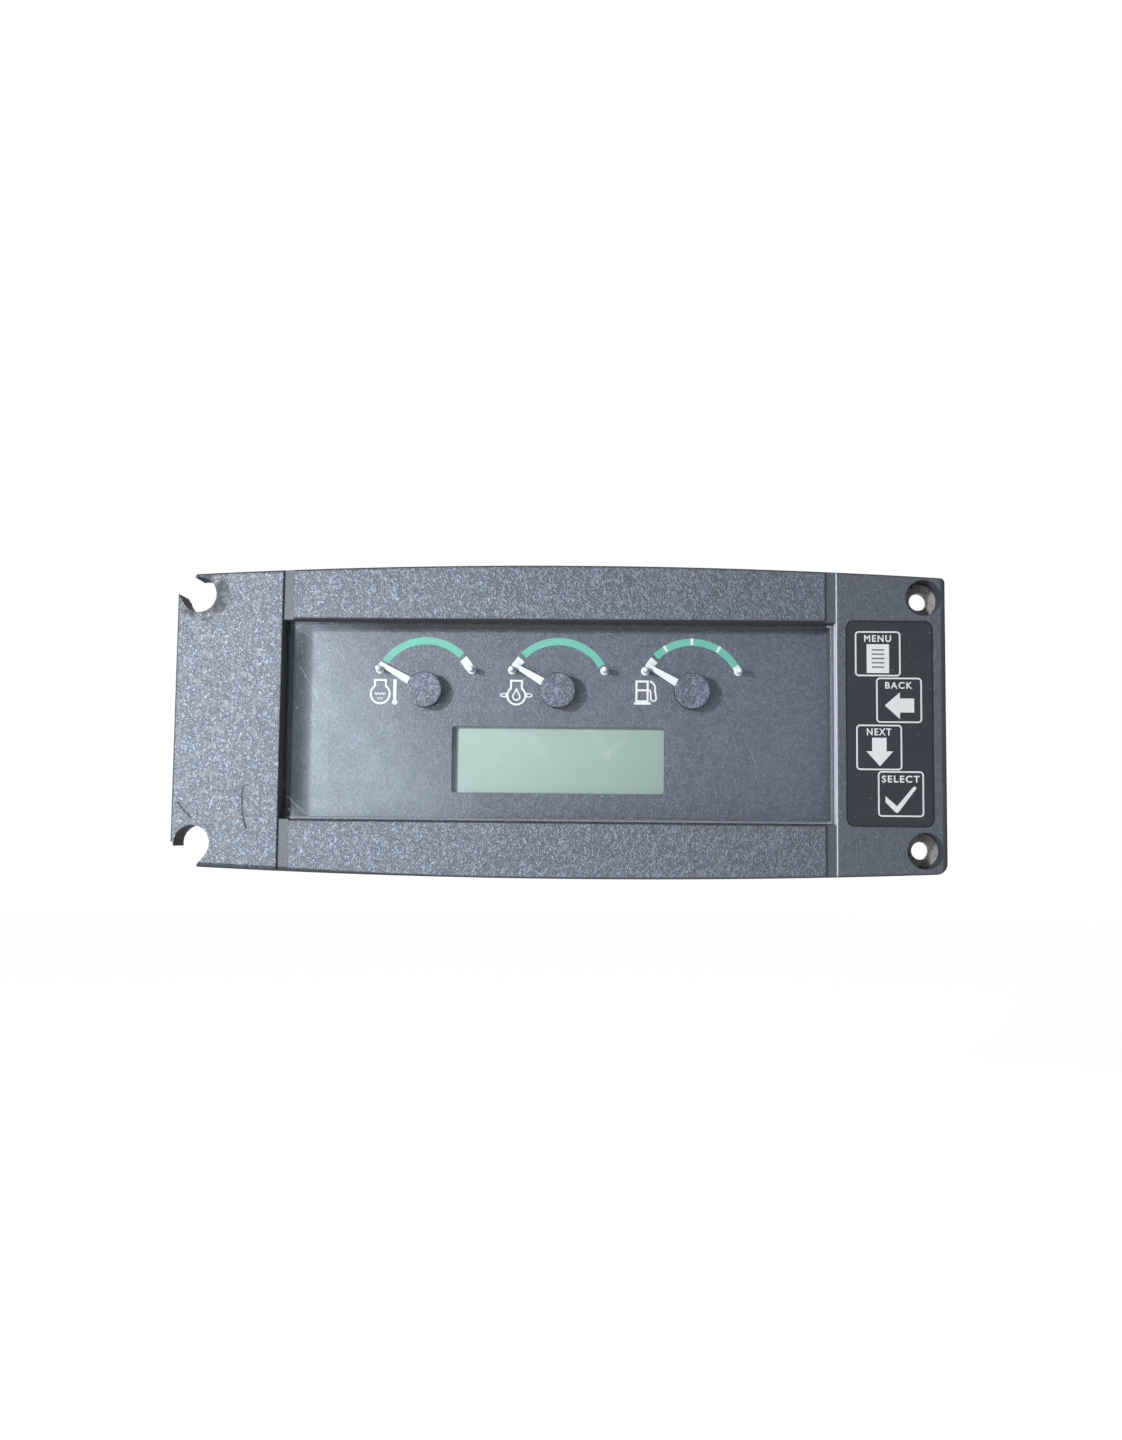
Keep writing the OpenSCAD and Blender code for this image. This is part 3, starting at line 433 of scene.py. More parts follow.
@dataclass(frozen=True)
class BezelFinish(Finish):
    """Glass-filled plastic with a coarse wrinkle on the front, finer at the right end and smooth in the channels.

    Attributes:
        front: the normal's Y at which a face starts to belong to the front and at which it does so fully.
        leftward: the normal's X at which a face starts to look to the left, towards the lamp, and at which it does so
            fully; such faces get less painted shade and get the painted highlight.
        steep: how large the normal's Y is where a face is too flat for a fracture and where it is steep enough.
        channel: nearest and farthest distance of the smooth channels from the middle.
        edge: half width of the whole bezel.
        soft: how wide the blend between two zones is at each side.
        fine: how strong the wrinkle is at the right end.
        tops: how much the ridges' painted highlight shows at the left and at the right; it is stronger at the left,
            where the lamp's sheen falls.
        fade: the X between which that changes.
        hole: place of the upper broken fixing hole; the lower one is its mirror image. In millimetres.
        fracture: radii between which the bezel is broken round them, in millimetres.
        witness: centre of the smooth, darker disc that a washer left round the upper one, in millimetres.
        washer: the disc's radius and the width of its edge, in millimetres.
        cracks: end points of the cracks in the left block, in millimetres, and how dark they are.
        crack_width: their width, in millimetres.
        stain: the colour of the grime in the cracks.
        fibre: the colour of a broken face.
        glint: nearest and farthest X of the faces at the right of the window which look towards it, and get a painted
            highlight.
        pale: the painted highlight's colour.
        low_edge: the bottom edge's height at the middle and the radius of its bow.
        rim: where the painted shade on the rounding of the bottom and right edges is darkest and where it starts,
            from the edge.
        rim_end: the X between which the rounding of the bottom edge ends.
        rim_shift: how far it has moved out of the edge where it ends.
        rim_front: the normal's Y at which the rounding starts to get the painted shade and at which it does so fully.
    """

    aside: Point = (-0.98, -0.75)
    sheen: Point = (1.08, 0.92)
    front: Point = (-0.8, -0.97)
    leftward: Point = (-0.3, -0.6)
    steep: Point = (0.75, 0.6)
    channel: Point = (97.7 * MM, 101.4 * MM)
    edge: float = 141 * MM
    soft: float = 0.3 * MM
    fine: float = 0.4
    tops: Point = (0.8, 0.42)
    fade: Point = (-60 * MM, 100 * MM)
    hole: Point = (-133.1, 45.9)
    fracture: Point = (7.0, 17.0)
    witness: Point = (-131.3, 45.7)
    washer: Point = (11.0, 1.6)
    cracks: tuple[tuple[Point, Point, float], ...] = (
        ((-114.55, -24.9), (-114.6, -34.5), 0.85), ((-114.6, -34.5), (-113.0, -40.3), 0.95),
        ((-138.4, -31.0), (-133.8, -36.5), 0.9), ((-137.3, 36.2), (-137.0, 26.9), 0.4))
    crack_width: float = 0.4
    stain: Colour = (0.022, 0.022, 0.022)
    fibre: Colour = (0.03, 0.031, 0.032)
    glint: Point = (100.5 * MM, 104 * MM)
    pale: Colour = (0.56, 0.60, 0.68)
    low_edge: Point = (-57.4 * MM, 3050 * MM)
    rim: Point = (1.7 * MM, 2.1 * MM)
    rim_end: Point = (-110 * MM, -40 * MM)
    rim_shift: float = 1.4 * MM
    rim_front: Point = (-0.2, -0.5)

    def dress(self, paint: Paint) -> None:
        """Feeds the surface shader, zone by zone."""
        x, _, z = paint.axes(paint.place())
        away = paint.maths("ABSOLUTE", x)
        sideways, facing, _ = paint.axes(paint.normal())
        front = paint.ramp(facing, *self.front)
        aside = paint.ramp(facing, *self.aside)
        leftward = paint.ramp(sideways, *self.leftward)
        in_channel = paint.product(self.beyond(paint, away, self.channel[0], self.soft),
                                   self.beyond(paint, away, self.channel[1], -self.soft))
        right = self.beyond(paint, x, self.channel[1], self.soft)
        witness = paint.product(paint.disc(self.witness, *self.washer),
                                paint.ramp(paint.cloud(4, 8.1), 0.2, 0.7, 0.5, 1.0))
        rim = paint.product(self.rim_shade_mask(paint, x, z), paint.ramp(facing, *self.rim_front))
        crack = paint.product(self.cracked(paint), front)
        smooth = paint.highest(in_channel, paint.product(witness, 0.6))
        strength = paint.product(front, paint.minus(1.0, smooth), paint.blend(right, 1.0, self.fine))

        grain, crest = paint.grain(self.grain)
        # Painted highlight on the ridges' tops, fading from the left, where the lamp's sheen falls, to the right.
        tops = paint.product(crest, strength, paint.ramp(x, *self.fade, *self.tops))
        # Painted highlight on the faces at the right of the window that look left, towards the lamp.
        glint = paint.product(leftward, paint.ramp(x, self.glint[0], self.glint[0] + self.soft),
                              paint.ramp(x, self.glint[1], self.glint[1] - self.soft), 0.9)
        colour = self.base(paint)
        for share, layer in (
                # painted highlight on the ridges' tops
                (tops, self.tint(self.crest)),
                # painted shade: faces that look aside are darkened, less where they look left, towards the lamp
                (paint.product(aside, paint.blend(leftward, self.shade, self.shade * 0.4)), BLACK),
                # painted shade on the rounding of the bottom and right edges
                (paint.product(rim, 0.6), BLACK),
                (glint, self.pale),
                (paint.product(witness, front, 0.8), self.tint(0.8)),
                *((share, self.fibre) for share in self.broken(paint, facing, x)),
                (crack, self.stain)):
            colour = paint.mix(share, colour, layer)
        rough = paint.highest(self.rough(paint, grain), aside, paint.product(in_channel, 0.6),
                              paint.product(witness, 0.8), crack, paint.product(rim, 0.9))
        height = paint.product(paint.minus(grain, 0.45), paint.maths("ADD", strength, 0.1), paint.minus(1.0, rim))
        self.coat(paint, colour, rough, paint.minus(height, paint.product(crack, 0.8)))

    @staticmethod
    def beyond(paint: Paint, value: Socket, level: float, soft: float) -> Socket:
        """Returns 1 where a value is above a level, or below it if soft is negative, and a blend beside it."""
        return paint.ramp(value, level - soft, level + soft)

    def broken(self, paint: Paint, facing: Socket, x: Socket) -> list[Socket]:
        """Returns where the rough fracture faces round the two broken holes are.

        Args:
            paint: the material's graph.
            facing: the normal's Y.
            x: the place's X.
        """
        side = paint.ramp(paint.maths("ABSOLUTE", facing), *self.steep)
        inner = paint.ramp(x, -self.edge + 0.35 * MM, -self.edge + 0.45 * MM)
        speckle = paint.blend(paint.cloud(0.8, 1.9), 0.35, 0.9)
        shares = []
        for level in (self.hole[1], -self.hole[1]):
            bore, rest = (paint.disc((self.hole[0], level), radius, soft)
                          for radius, soft in zip(self.fracture, (0.1, 1.0)))
            ring = paint.minus(rest, bore, clamp=True)
            shares.append(paint.product(ring, side, inner, speckle))
        return shares

    def rim_shade_mask(self, paint: Paint, x: Socket, z: Socket) -> Socket:
        """Returns 1 along the right edge and the bottom edge's left part, where the rounding gets painted shade, and
        0 away from them.
        """
        level, radius = self.low_edge
        above = paint.minus(paint.minus(z, level), paint.product(x, x, 0.5 / radius))
        above = paint.maths("ADD", above, paint.ramp(x, *self.rim_end, 0.0, self.rim_shift))
        beside = paint.minus(self.edge, x)
        return paint.ramp(paint.maths("MINIMUM", above, beside), *self.rim, 1.0, 0.0)

    def cracked(self, paint: Paint) -> Socket:
        """Returns 1 in the hairline cracks."""
        lines = [paint.product(paint.line(start, end, self.crack_width), depth) for start, end, depth in self.cracks]
        return paint.product(paint.highest(*lines), paint.ramp(paint.cloud(1.6, 7.3), 0.2, 0.6, 0.75, 1.0))


@dataclass(frozen=True)
class LensFinish(Finish):
    """Clear sheet, nearly unseen, with haze in two corners, dust and a few fine scratches.

    Attributes:
        clear: how much of the light the clean sheet keeps back.
        veil: how much light the greasy film at the left end keeps back.
        veil_reach: where the film starts and where it is full at mid height; it leans.
        lean: how far the film's start moves to the right for each metre down.
        edge: where the film is thinnest beside the frame and where it is full.
        clean: where film and haze end before the gasket.
        haze: the centres and radii of the hazed corners, in millimetres.
        scratches: pairs of end points, in millimetres.
        scratch: their width in millimetres, and how much light they keep back.
        rings: the centre and radii of the round wiping marks, in millimetres.
    """

    clear: float = 0.012
    veil: float = 0.09
    veil_reach: Point = (-42 * MM, -78 * MM)
    lean: float = 0.6
    edge: Point = (-94 * MM, -90 * MM)
    clean: Point = (-98.1 * MM, -97.6 * MM)
    haze: tuple[tuple[Point, float], ...] = (((-97.0, 36.0), 13.0), ((-98.0, -37.0), 10.0))
    scratches: tuple[tuple[Point, Point], ...] = (
        ((-95.8, 20.1), (-84.2, -0.3)), ((-97.7, 34.7), (-84.7, 25.8)), ((-99.2, -28.5), (-91.6, -35.1)),
        ((-30.0, -31.0), (-22.0, -33.5)), ((18.0, 33.0), (24.0, 30.5)), ((70.0, -8.0), (73.0, -16.0)))
    scratch: Point = (0.16, 0.16)
    rings: tuple[Point, tuple[float, ...]] = ((-70.0, -3.0), (5.5, 9.0))

    def dress(self, paint: Paint) -> None:
        """Feeds the surface shader's colour, roughness and alpha."""
        cloud = paint.cloud(7, 2.2)
        x, _, z = paint.axes(paint.place())
        inside = paint.ramp(x, *self.clean)
        leaning = paint.maths("ADD", x, paint.product(z, self.lean))
        layers = [paint.blend(cloud, self.clear * 0.8, self.clear * 1.2),
                  paint.product(paint.ramp(leaning, *self.veil_reach), paint.ramp(x, *self.edge, 0.2, 1.0),
                                paint.blend(cloud, 0.8, 1.1), self.veil, inside)]
        fog = paint.product(inside, paint.blend(cloud, 0.05, 0.12))
        for centre, radius in self.haze:
            spot = paint.disc(centre, radius, radius)
            layers.append(paint.product(spot, spot, fog))
        width, depth = self.scratch
        layers += [paint.product(paint.line(*ends, width), cloud, depth) for ends in self.scratches]
        centre, radii = self.rings
        for radius in radii:
            ring = paint.minus(paint.disc(centre, radius, 0.3), paint.disc(centre, radius - 0.35, 0.3), clamp=True)
            layers.append(paint.product(ring, cloud, 0.07))
        layers.append(paint.product(paint.specks(1.6, 0.06, 3.1), 0.12))
        paint.surface({"Alpha": paint.fold("ADD", *layers)})
        colour = paint.mix(cloud, self.tint(0.95), self.colour)
        self.coat(paint, colour, paint.blend(cloud, self.roughness, self.roughness * 1.6))


@dataclass(frozen=True)
class SealFinish(Finish):
    """Dark rubber whose lower and right runs are painted pale as painted light, where the lamp lights them.

    Attributes:
        painted_light_colour: the colour of the painted light.
        right: the X beyond which it starts.
        low: the Z below which it starts.
        thin: the Z between which the painted light gets weaker towards the window.
    """

    painted_light_colour: Colour = (0.25, 0.28, 0.32)
    right: float = 99 * MM
    low: float = -34.5 * MM
    thin: Point = (-36.3 * MM, -35.9 * MM)

    def base(self, paint: Paint) -> Socket:
        """Returns the rubber's colour with the painted light on it."""
        x, _, z = paint.axes(paint.place())
        below = paint.product(paint.maths("LESS_THAN", z, self.low), paint.ramp(z, *self.thin, 1.0, 0.45))
        # Painted light: the lower and right runs are painted pale.
        painted_light = paint.highest(paint.maths("GREATER_THAN", x, self.right), below)
        return paint.mix(painted_light, super().base(paint), self.painted_light_colour)


@dataclass(frozen=True)
class DisplayFinish(Finish):
    """Unlit liquid-crystal glass: pale green, with painted shade that makes it a little darker to the right, and
    dried smears.

    Attributes:
        shaded_right_colour: the colour at the right end, darker as painted shade.
        half_width: half of the glass's width.
        smears: pairs of end points with a width, in millimetres.
        smear: their colour.
    """

    shaded_right_colour: Colour = (0.262, 0.375, 0.32)
    half_width: float = 40 * MM
    smears: tuple[tuple[Point, Point, float], ...] = (
        ((13.3, -3.1), (18.8, -11.2), 2.2), ((18.8, -11.2), (25.3, -4.7), 1.8), ((-25.8, -9.2), (-21.3, -13.7), 1.6),
        ((-12.3, -3.3), (-4.3, -12.7), 2.4))
    smear: Colour = (0.62, 0.72, 0.68)

    def dress(self, paint: Paint) -> None:
        """Feeds the surface shader's colour and roughness."""
        # Painted shade: the colour darkens towards the right end.
        across = paint.ramp(paint.axes(paint.place())[0], -self.half_width, self.half_width)
        colour = paint.mix(across, self.base(paint), self.shaded_right_colour)
        cloud = paint.cloud(5, 4.4)
        for ends in self.smears:
            colour = paint.mix(paint.product(paint.line(*ends), cloud, 0.14), colour, self.smear)
        self.coat(paint, colour, paint.blend(cloud, self.roughness, self.roughness * 1.4))


@dataclass(frozen=True)
class WornMetalFinish(Finish):
    """Dull plated steel with brown rust specks and bright worn spots.

    Attributes:
        rust: the colour of the rust.
        rust_share: share of the cells that hold a rust speck.
        rust_roughness: the roughness of the rust.
        bright_share: share of the cells that hold a bright spot.
        bright: how many times lighter the bright spots are.
    """

    rust: Colour = (0.095, 0.075, 0.062)
    rust_share: float = 0.35
    rust_roughness: float = 0.85
    bright_share: float = 0.3
    bright: float = 2.2

    def dress(self, paint: Paint) -> None:
        """Feeds the surface shader, with the rust neither metallic nor smooth."""
        rusty = paint.highest(paint.specks(0.7, self.rust_share, 5.2), paint.ramp(paint.cloud(1.8, 6.1), 0.6, 0.95))
        spots = paint.product(paint.specks(0.6, self.bright_share, 9.6), 0.6)
        colour = paint.mix(spots, self.base(paint), self.tint(self.bright))
        paint.surface({"Metallic": paint.blend(rusty, self.metallic, 0.0)})
        self.coat(paint, paint.mix(rusty, colour, self.rust),
                  paint.blend(rusty, self.roughness, self.rust_roughness), rusty)


@dataclass(frozen=True)
class FilmFinish(Finish):
    """Printed film with a black line of painted shade along its edge, where the pocket's wall shades it.

    Attributes:
        middle: X of the film's middle.
        half: half of its width and height.
        corner: its corner radius.
        line: the black line's width.
        painted_edge_shade: the colour of the painted shade line.
    """

    middle: float = 120.6 * MM
    half: Point = (15.6 * MM, 37.3 * MM)
    corner: float = 2.8 * MM
    line: float = 0.45 * MM
    painted_edge_shade: Colour = (0.003, 0.003, 0.004)

    def base(self, paint: Paint) -> Socket:
        """Returns the film's colour with the painted shade line along its edge."""
        x, _, z = paint.axes(paint.place())
        squares = []
        for along, half in ((paint.minus(x, self.middle), self.half[0]), (z, self.half[1])):
            past = paint.minus(paint.maths("ABSOLUTE", along), half - self.corner)
            over = paint.highest(past, 0.0)
            squares.append(paint.product(over, over))
        reach = paint.maths("SQRT", paint.maths("ADD", *squares))
        # Painted shade: a black line along the film's edge.
        edge = paint.ramp(reach, self.corner - self.line, self.corner - self.line * 0.6)
        return paint.mix(edge, super().base(paint), self.painted_edge_shade)


@dataclass(frozen=True)
class BoardFinish(Finish):
    """Solder resist over copper, whose tracks show as slightly lighter bands."""

    def dress(self, paint: Paint) -> None:
        """Feeds the surface shader."""
        x, _, z = paint.axes(paint.place())
        flat = paint.node("CombineXYZ", {0: x, 1: z}).outputs[0]
        tracks = paint.node("TexBrick", {"Vector": flat, "Scale": 1.0, "Mortar Size": 0.25 * MM,
                                         "Brick Width": 9 * MM, "Row Height": 1.4 * MM})
        track = paint.minus(1.0, tracks.outputs["Fac"])
        colour = paint.mix(paint.product(track, 0.7), self.base(paint), self.tint(1.7))
        self.coat(paint, colour, paint.blend(track, self.roughness, self.roughness * 0.8), track)


BEZEL = BezelFinish("wrinkle-grained plastic", (0.0245, 0.035, 0.050), roughness=0.45, grain=1.25 * MM,
                    relief=0.20 * MM, mottle=0.08, gloss=0.9, dust=0.03, shade=0.95, crest=7.8)
DIAL = Finish("dial face", (0.040, 0.052, 0.074), roughness=0.45, grain=1.0 * MM, relief=0.08 * MM, mottle=0.07,
              gloss=0.7, dust=0.05, shade=0.9, crest=2.4)
LENS = LensFinish("hazed clear sheet", (0.64, 0.80, 0.95), roughness=0.25)
BUSH = WornMetalFinish("rusty bush steel", (0.40, 0.385, 0.375), metallic=0.15, relief=0.05 * MM, gloss=0.2)
WHITE_PLASTIC = Finish("white plastic", (0.70, 0.80, 0.86), roughness=0.4, relief=0.004 * MM, mottle=0.03)
CAP_PLASTIC = Finish("grained cap plastic", (0.022, 0.030, 0.046), roughness=0.45, grain=1.4 * MM,
                     relief=0.20 * MM, gloss=0.75, dust=0.12, shade=0.95, crest=6.0)
BLACK_PLASTIC = Finish("black plastic", (0.02, 0.022, 0.025), roughness=0.45)
GASKET = Finish("gasket rubber", (0.018, 0.019, 0.021), roughness=0.8, relief=0.01 * MM)
LENS_GASKET = SealFinish("smeared gasket rubber", (0.015, 0.017, 0.02), roughness=0.8, relief=0.01 * MM)
SPINDLE = Finish("ground steel", (0.55, 0.56, 0.58), roughness=0.25, metallic=1.0, grain=0.2 * MM, relief=0.002 * MM)
FERRITE = Finish("ferrite", (0.09, 0.085, 0.08), roughness=0.7, grain=0.3 * MM)
FRAME_METAL = Finish("black painted sheet", (0.015, 0.017, 0.02), roughness=0.4, relief=0.008 * MM)
DISPLAY = DisplayFinish("display glass", (0.325, 0.46, 0.42), roughness=0.35, mottle=0.03, gloss=0.4)
LIGHT_GUIDE = Finish("diffuser", (0.70, 0.78, 0.62), roughness=0.3, relief=0.005 * MM, mottle=0.02)
BOARD = BoardFinish("solder resist", (0.018, 0.12, 0.05), roughness=0.35, relief=0.03 * MM)
FILM = FilmFinish("keypad film", (0.023, 0.027, 0.036), grain=0.5 * MM, relief=0.012 * MM, mottle=0.08,
                  gloss=0.3, dust=0.01)
KEY_PLASTIC = Finish("natural plastic", (0.60, 0.62, 0.58), relief=0.005 * MM)
SCREW = Finish("zinc plate", (0.52, 0.53, 0.54), roughness=0.32, metallic=1.0, grain=0.3 * MM, relief=0.004 * MM)
SOCKET = Finish("ivory plastic", (0.78, 0.74, 0.64))
RIBBON = Finish("amber film", (0.45, 0.26, 0.06), roughness=0.3, relief=0.003 * MM)
CAN = Finish("can sleeve", (0.05, 0.08, 0.2), roughness=0.3, relief=0.003 * MM)
COVER = Finish("fine-textured cover plastic", (0.03, 0.033, 0.038), roughness=0.55, grain=0.9 * MM,
               relief=0.04 * MM, dust=0.03)
CONNECTOR = Finish("connector plastic", (0.016, 0.017, 0.019), roughness=0.4, relief=0.006 * MM)
CONTACT = Finish("plated contact", (0.72, 0.58, 0.28), roughness=0.25, metallic=1.0, relief=0.002 * MM)
WHITE_INK = Finish("white print", (0.70, 0.735, 0.745), relief=0.004 * MM, mottle=0.03, gloss=0.3)
GREEN_INK = Finish("green print", (0.125, 0.455, 0.365), relief=0.004 * MM, mottle=0.04, gloss=0.3)
GREY_INK = Finish("grey print", (0.11, 0.12, 0.13), relief=0.004 * MM, gloss=0.3)


def dress(finish: Finish, *nodes: str) -> None:
    """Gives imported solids, named by their nodes, their finish."""
    for name in nodes:
        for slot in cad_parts[name].material_slots:
            slot.material = finish.material()
    log.info("%s: %s", finish.name, ", ".join(nodes))


def add_object(name: str, data: bpy.types.ID) -> bpy.types.Object:
    """Adds an object to the scene and returns it."""
    made = bpy.data.objects.new(name, data)
    bpy.context.scene.collection.objects.link(made)
    return made


class Assembly:
    """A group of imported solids.

    Attributes:
        parts: each finish with the names of the nodes that get it, parted by spaces.
    """

    parts: ClassVar[dict[Finish, str]] = {}

    def dress(self) -> None:
        """Gives the group's solids their finishes."""
        for finish, nodes in self.parts.items():
            dress(finish, *nodes.split())


class PrintSheet:
    """Thin raised print, drawn flat in millimetres and then laid on a front face."""

    THICKNESS = 0.04
    SUNK = 0.005
    BOLD = 0.024
    SPACING = 1.22
    JOIN = 0.002
    ARC_STEP = 3

    def __init__(self, name: str) -> None:
        """Starts an empty sheet, whose name the finished piece gets."""
        self.name = name
        self.flat = bmesh.new()
        self.solid = bmesh.new()

    def polygon(self, corners: list[Point]) -> bmesh.types.BMFace:
        """Adds a filled outline and returns its face."""
        return self.flat.faces.new([self.flat.verts.new((x, y, 0.0)) for x, y in corners])

    def outline(self, corners: list[Point], line: float) -> None:
        """Adds a closed line, line wide, along the inside of an outline."""
        face = self.polygon(corners)
        bmesh.ops.recalc_face_normals(self.flat, faces=[face])
        self.hollow(face, line)

    def hollow(self, face: bmesh.types.BMFace, line: float) -> None:
        """Leaves only the rim of a face, line wide."""
        bmesh.ops.inset_region(self.flat, faces=[face], thickness=line, depth=0.0, use_boundary=True,
                               use_even_offset=True)
        bmesh.ops.delete(self.flat, geom=[face], context="FACES_ONLY")

    def disc(self, centre: Point, radius: float, segments: int = 24) -> None:
        """Adds a filled circle."""
        bmesh.ops.create_circle(self.flat, cap_ends=True, segments=segments, radius=radius,
                                matrix=Matrix.Translation((*centre, 0.0)))

    def arc_band(self, centre: Point, radii: Point, angles: Point) -> None:
        """Adds a part of a ring, swept from one radial edge.

        Args:
            centre: the ring's centre.
            radii: its inner and outer radius.
            angles: where it starts and ends, in degrees from the right, anticlockwise.
        """
        first = math.radians(min(angles))
        ends = [self.flat.verts.new((centre[0] + r * math.cos(first), centre[1] + r * math.sin(first), 0.0))
                for r in radii]
        edge = self.flat.edges.new(ends)
        sweep = math.radians(max(angles)) - first
        bmesh.ops.spin(self.flat, geom=[*ends, edge], cent=(*centre, 0.0), axis=(0.0, 0.0, 1.0), angle=sweep,
                       steps=max(2, round(math.degrees(sweep) / self.ARC_STEP)), use_merge=False, use_duplicate=False)

    def rounded_frame(self, centre: Point, side: float, radius: float, line: float) -> None:
        """Adds the line of a square with round corners."""
        half = side / 2
        face = self.polygon([(centre[0] + sx * half, centre[1] + sy * half)
                             for sx, sy in ((-1, -1), (1, -1), (1, 1), (-1, 1))])
        cut = bmesh.ops.bevel(self.flat, geom=list(face.verts), offset=radius, segments=5, profile=0.5,
                              affect="VERTICES", material=-1)
        whole = max((each for vert in cut["verts"] for each in vert.link_faces), key=lambda f: f.calc_area())
        self.hollow(whole, line)

    def stroke(self, points: list[Point], width: float) -> None:
        """Adds an open line of even width through many close points."""
        pen = self.flat_curve("pen", [(x * width / 2, y * self.THICKNESS)
                                      for x, y in ((-1, 0), (1, 0), (1, 1), (-1, 1))])
        pen.splines[0].use_cyclic_u = True
        pen_object = bpy.data.objects.new("pen", pen)
        path = self.flat_curve("path", points)
        path.bevel_mode = "OBJECT"
        path.bevel_object = pen_object
        path.use_fill_caps = True
        self.add_curve(path)
        bpy.data.objects.remove(pen_object)
        bpy.data.curves.remove(pen)

    @staticmethod
    def flat_curve(name: str, points: list[Point]) -> bpy.types.Curve:
        """Returns a curve through points, by straight lines."""
        curve = bpy.data.curves.new(name, "CURVE")
        curve.dimensions = "2D"
        line = curve.splines.new("POLY")
        line.points.add(len(points) - 1)
        for point, (x, y) in zip(line.points, points):
            point.co = (x, y, 0.0, 1.0)
        return curve

    def word(self, text: str, low: Point, high: Point) -> None:
        """Adds a word in bold plain letters, fitted to a box.

        Args:
            text: the word.
            low: the box's lower left corner.
            high: its upper right corner.
        """
        letters = bpy.data.curves.new("word", "FONT")
        letters.body = text
        letters.offset = self.BOLD
        letters.extrude = 0.5
        letters.resolution_u = 4
        letters.space_character = self.SPACING
        before = len(self.solid.verts)
        self.add_curve(letters)
        self.solid.verts.ensure_lookup_table()
        added = self.solid.verts[before:]
        corner = Vector([min(v.co[i] for v in added) for i in range(3)])
        size = Vector([max(v.co[i] for v in added) for i in range(3)]) - corner
        fit = Matrix.Diagonal(((high[0] - low[0]) / size.x, (high[1] - low[1]) / size.y,
                               self.THICKNESS / size.z, 1.0))
        move = Matrix.Translation((*low, 0.0)) @ fit @ Matrix.Translation(-corner)
        bmesh.ops.transform(self.solid, matrix=move, verts=added)

    def add_curve(self, curve: bpy.types.Curve) -> None:
        """Turns a curve or a word into mesh and adds it to the sheet."""
        thing = add_object("drawn", curve)
        bpy.context.view_layer.update()
        mesh = bpy.data.meshes.new_from_object(thing.evaluated_get(bpy.context.evaluated_depsgraph_get()))
        self.solid.from_mesh(mesh)
        bpy.data.objects.remove(thing)
        bpy.data.curves.remove(curve)
        bpy.data.meshes.remove(mesh)

    def lay(self, face_y: float, finish: Finish) -> bpy.types.Object:
        """Gives the drawing its thickness and lays it on a front face.

        Args:
            face_y: the face's Y, in metres.
            finish: the ink.

        Returns:
            The finished piece, riding on the housing.
        """
        grown = bmesh.ops.extrude_face_region(self.flat, geom=self.flat.faces[:], use_keep_orig=True)
        lifted = [item for item in grown["geom"] if isinstance(item, bmesh.types.BMVert)]
        bmesh.ops.translate(self.flat, verts=lifted, vec=(0.0, 0.0, self.THICKNESS))
        drawn = bpy.data.meshes.new(self.name)
        self.flat.to_mesh(drawn)
        self.solid.from_mesh(drawn)
        bmesh.ops.remove_doubles(self.solid, verts=self.solid.verts[:], dist=self.JOIN)
        upright = Matrix.Rotation(math.radians(90), 4, "X") @ Matrix.Scale(MM, 4)
        onto = Matrix.Translation((0.0, face_y + self.SUNK * MM, 0.0)) @ upright
        bmesh.ops.transform(self.solid, matrix=onto, verts=self.solid.verts[:])
        bmesh.ops.recalc_face_normals(self.solid, faces=self.solid.faces[:])
        self.solid.to_mesh(drawn)
        self.flat.free()
        self.solid.free()
        piece = add_object(self.name, drawn)
        drawn.materials.append(finish.material())
        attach(piece, "housing")
        log.info("%s: %d faces", self.name, len(drawn.polygons))
        return piece


def arc_points(centre: Point, radius: float, start: float, stop: float, steps: int) -> list[Point]:
    """Returns points along an arc.

    Args:
        centre: the arc's centre.
        radius: its radius.
        start: its first angle in degrees.
        stop: its last angle in degrees.
        steps: how many stretches it has.
    """
    turns = [math.radians(start + (stop - start) * i / steps) for i in range(steps + 1)]
    return [(centre[0] + radius * math.cos(a), centre[1] + radius * math.sin(a)) for a in turns]


class Housing(Assembly):
    """The bezel with its steel bushes, its cover, and the parts that fasten them."""

    parts = {BEZEL: "front_bezel", BUSH: "bush_upper bush_lower", COVER: "rear_cover", GASKET: "cover_seal",
             SCREW: "cover_screws", CONNECTOR: "connector_header", CONTACT: "connector_contacts",
             BLACK_PLASTIC: "vent_plug"}


class Window(Assembly):
    """The lens on its gasket, and the dial plate behind it with the pins that stop the needles."""

    parts = {LENS: "lens", LENS_GASKET: "lens_gasket", DIAL: "dial_plate", WHITE_PLASTIC: "stop_pins"}


class Symbol(Enum):
    """What a pointer gauge measures."""

    TEMPERATURE = "temperature"
    OIL = "oil"
    FUEL = "fuel"


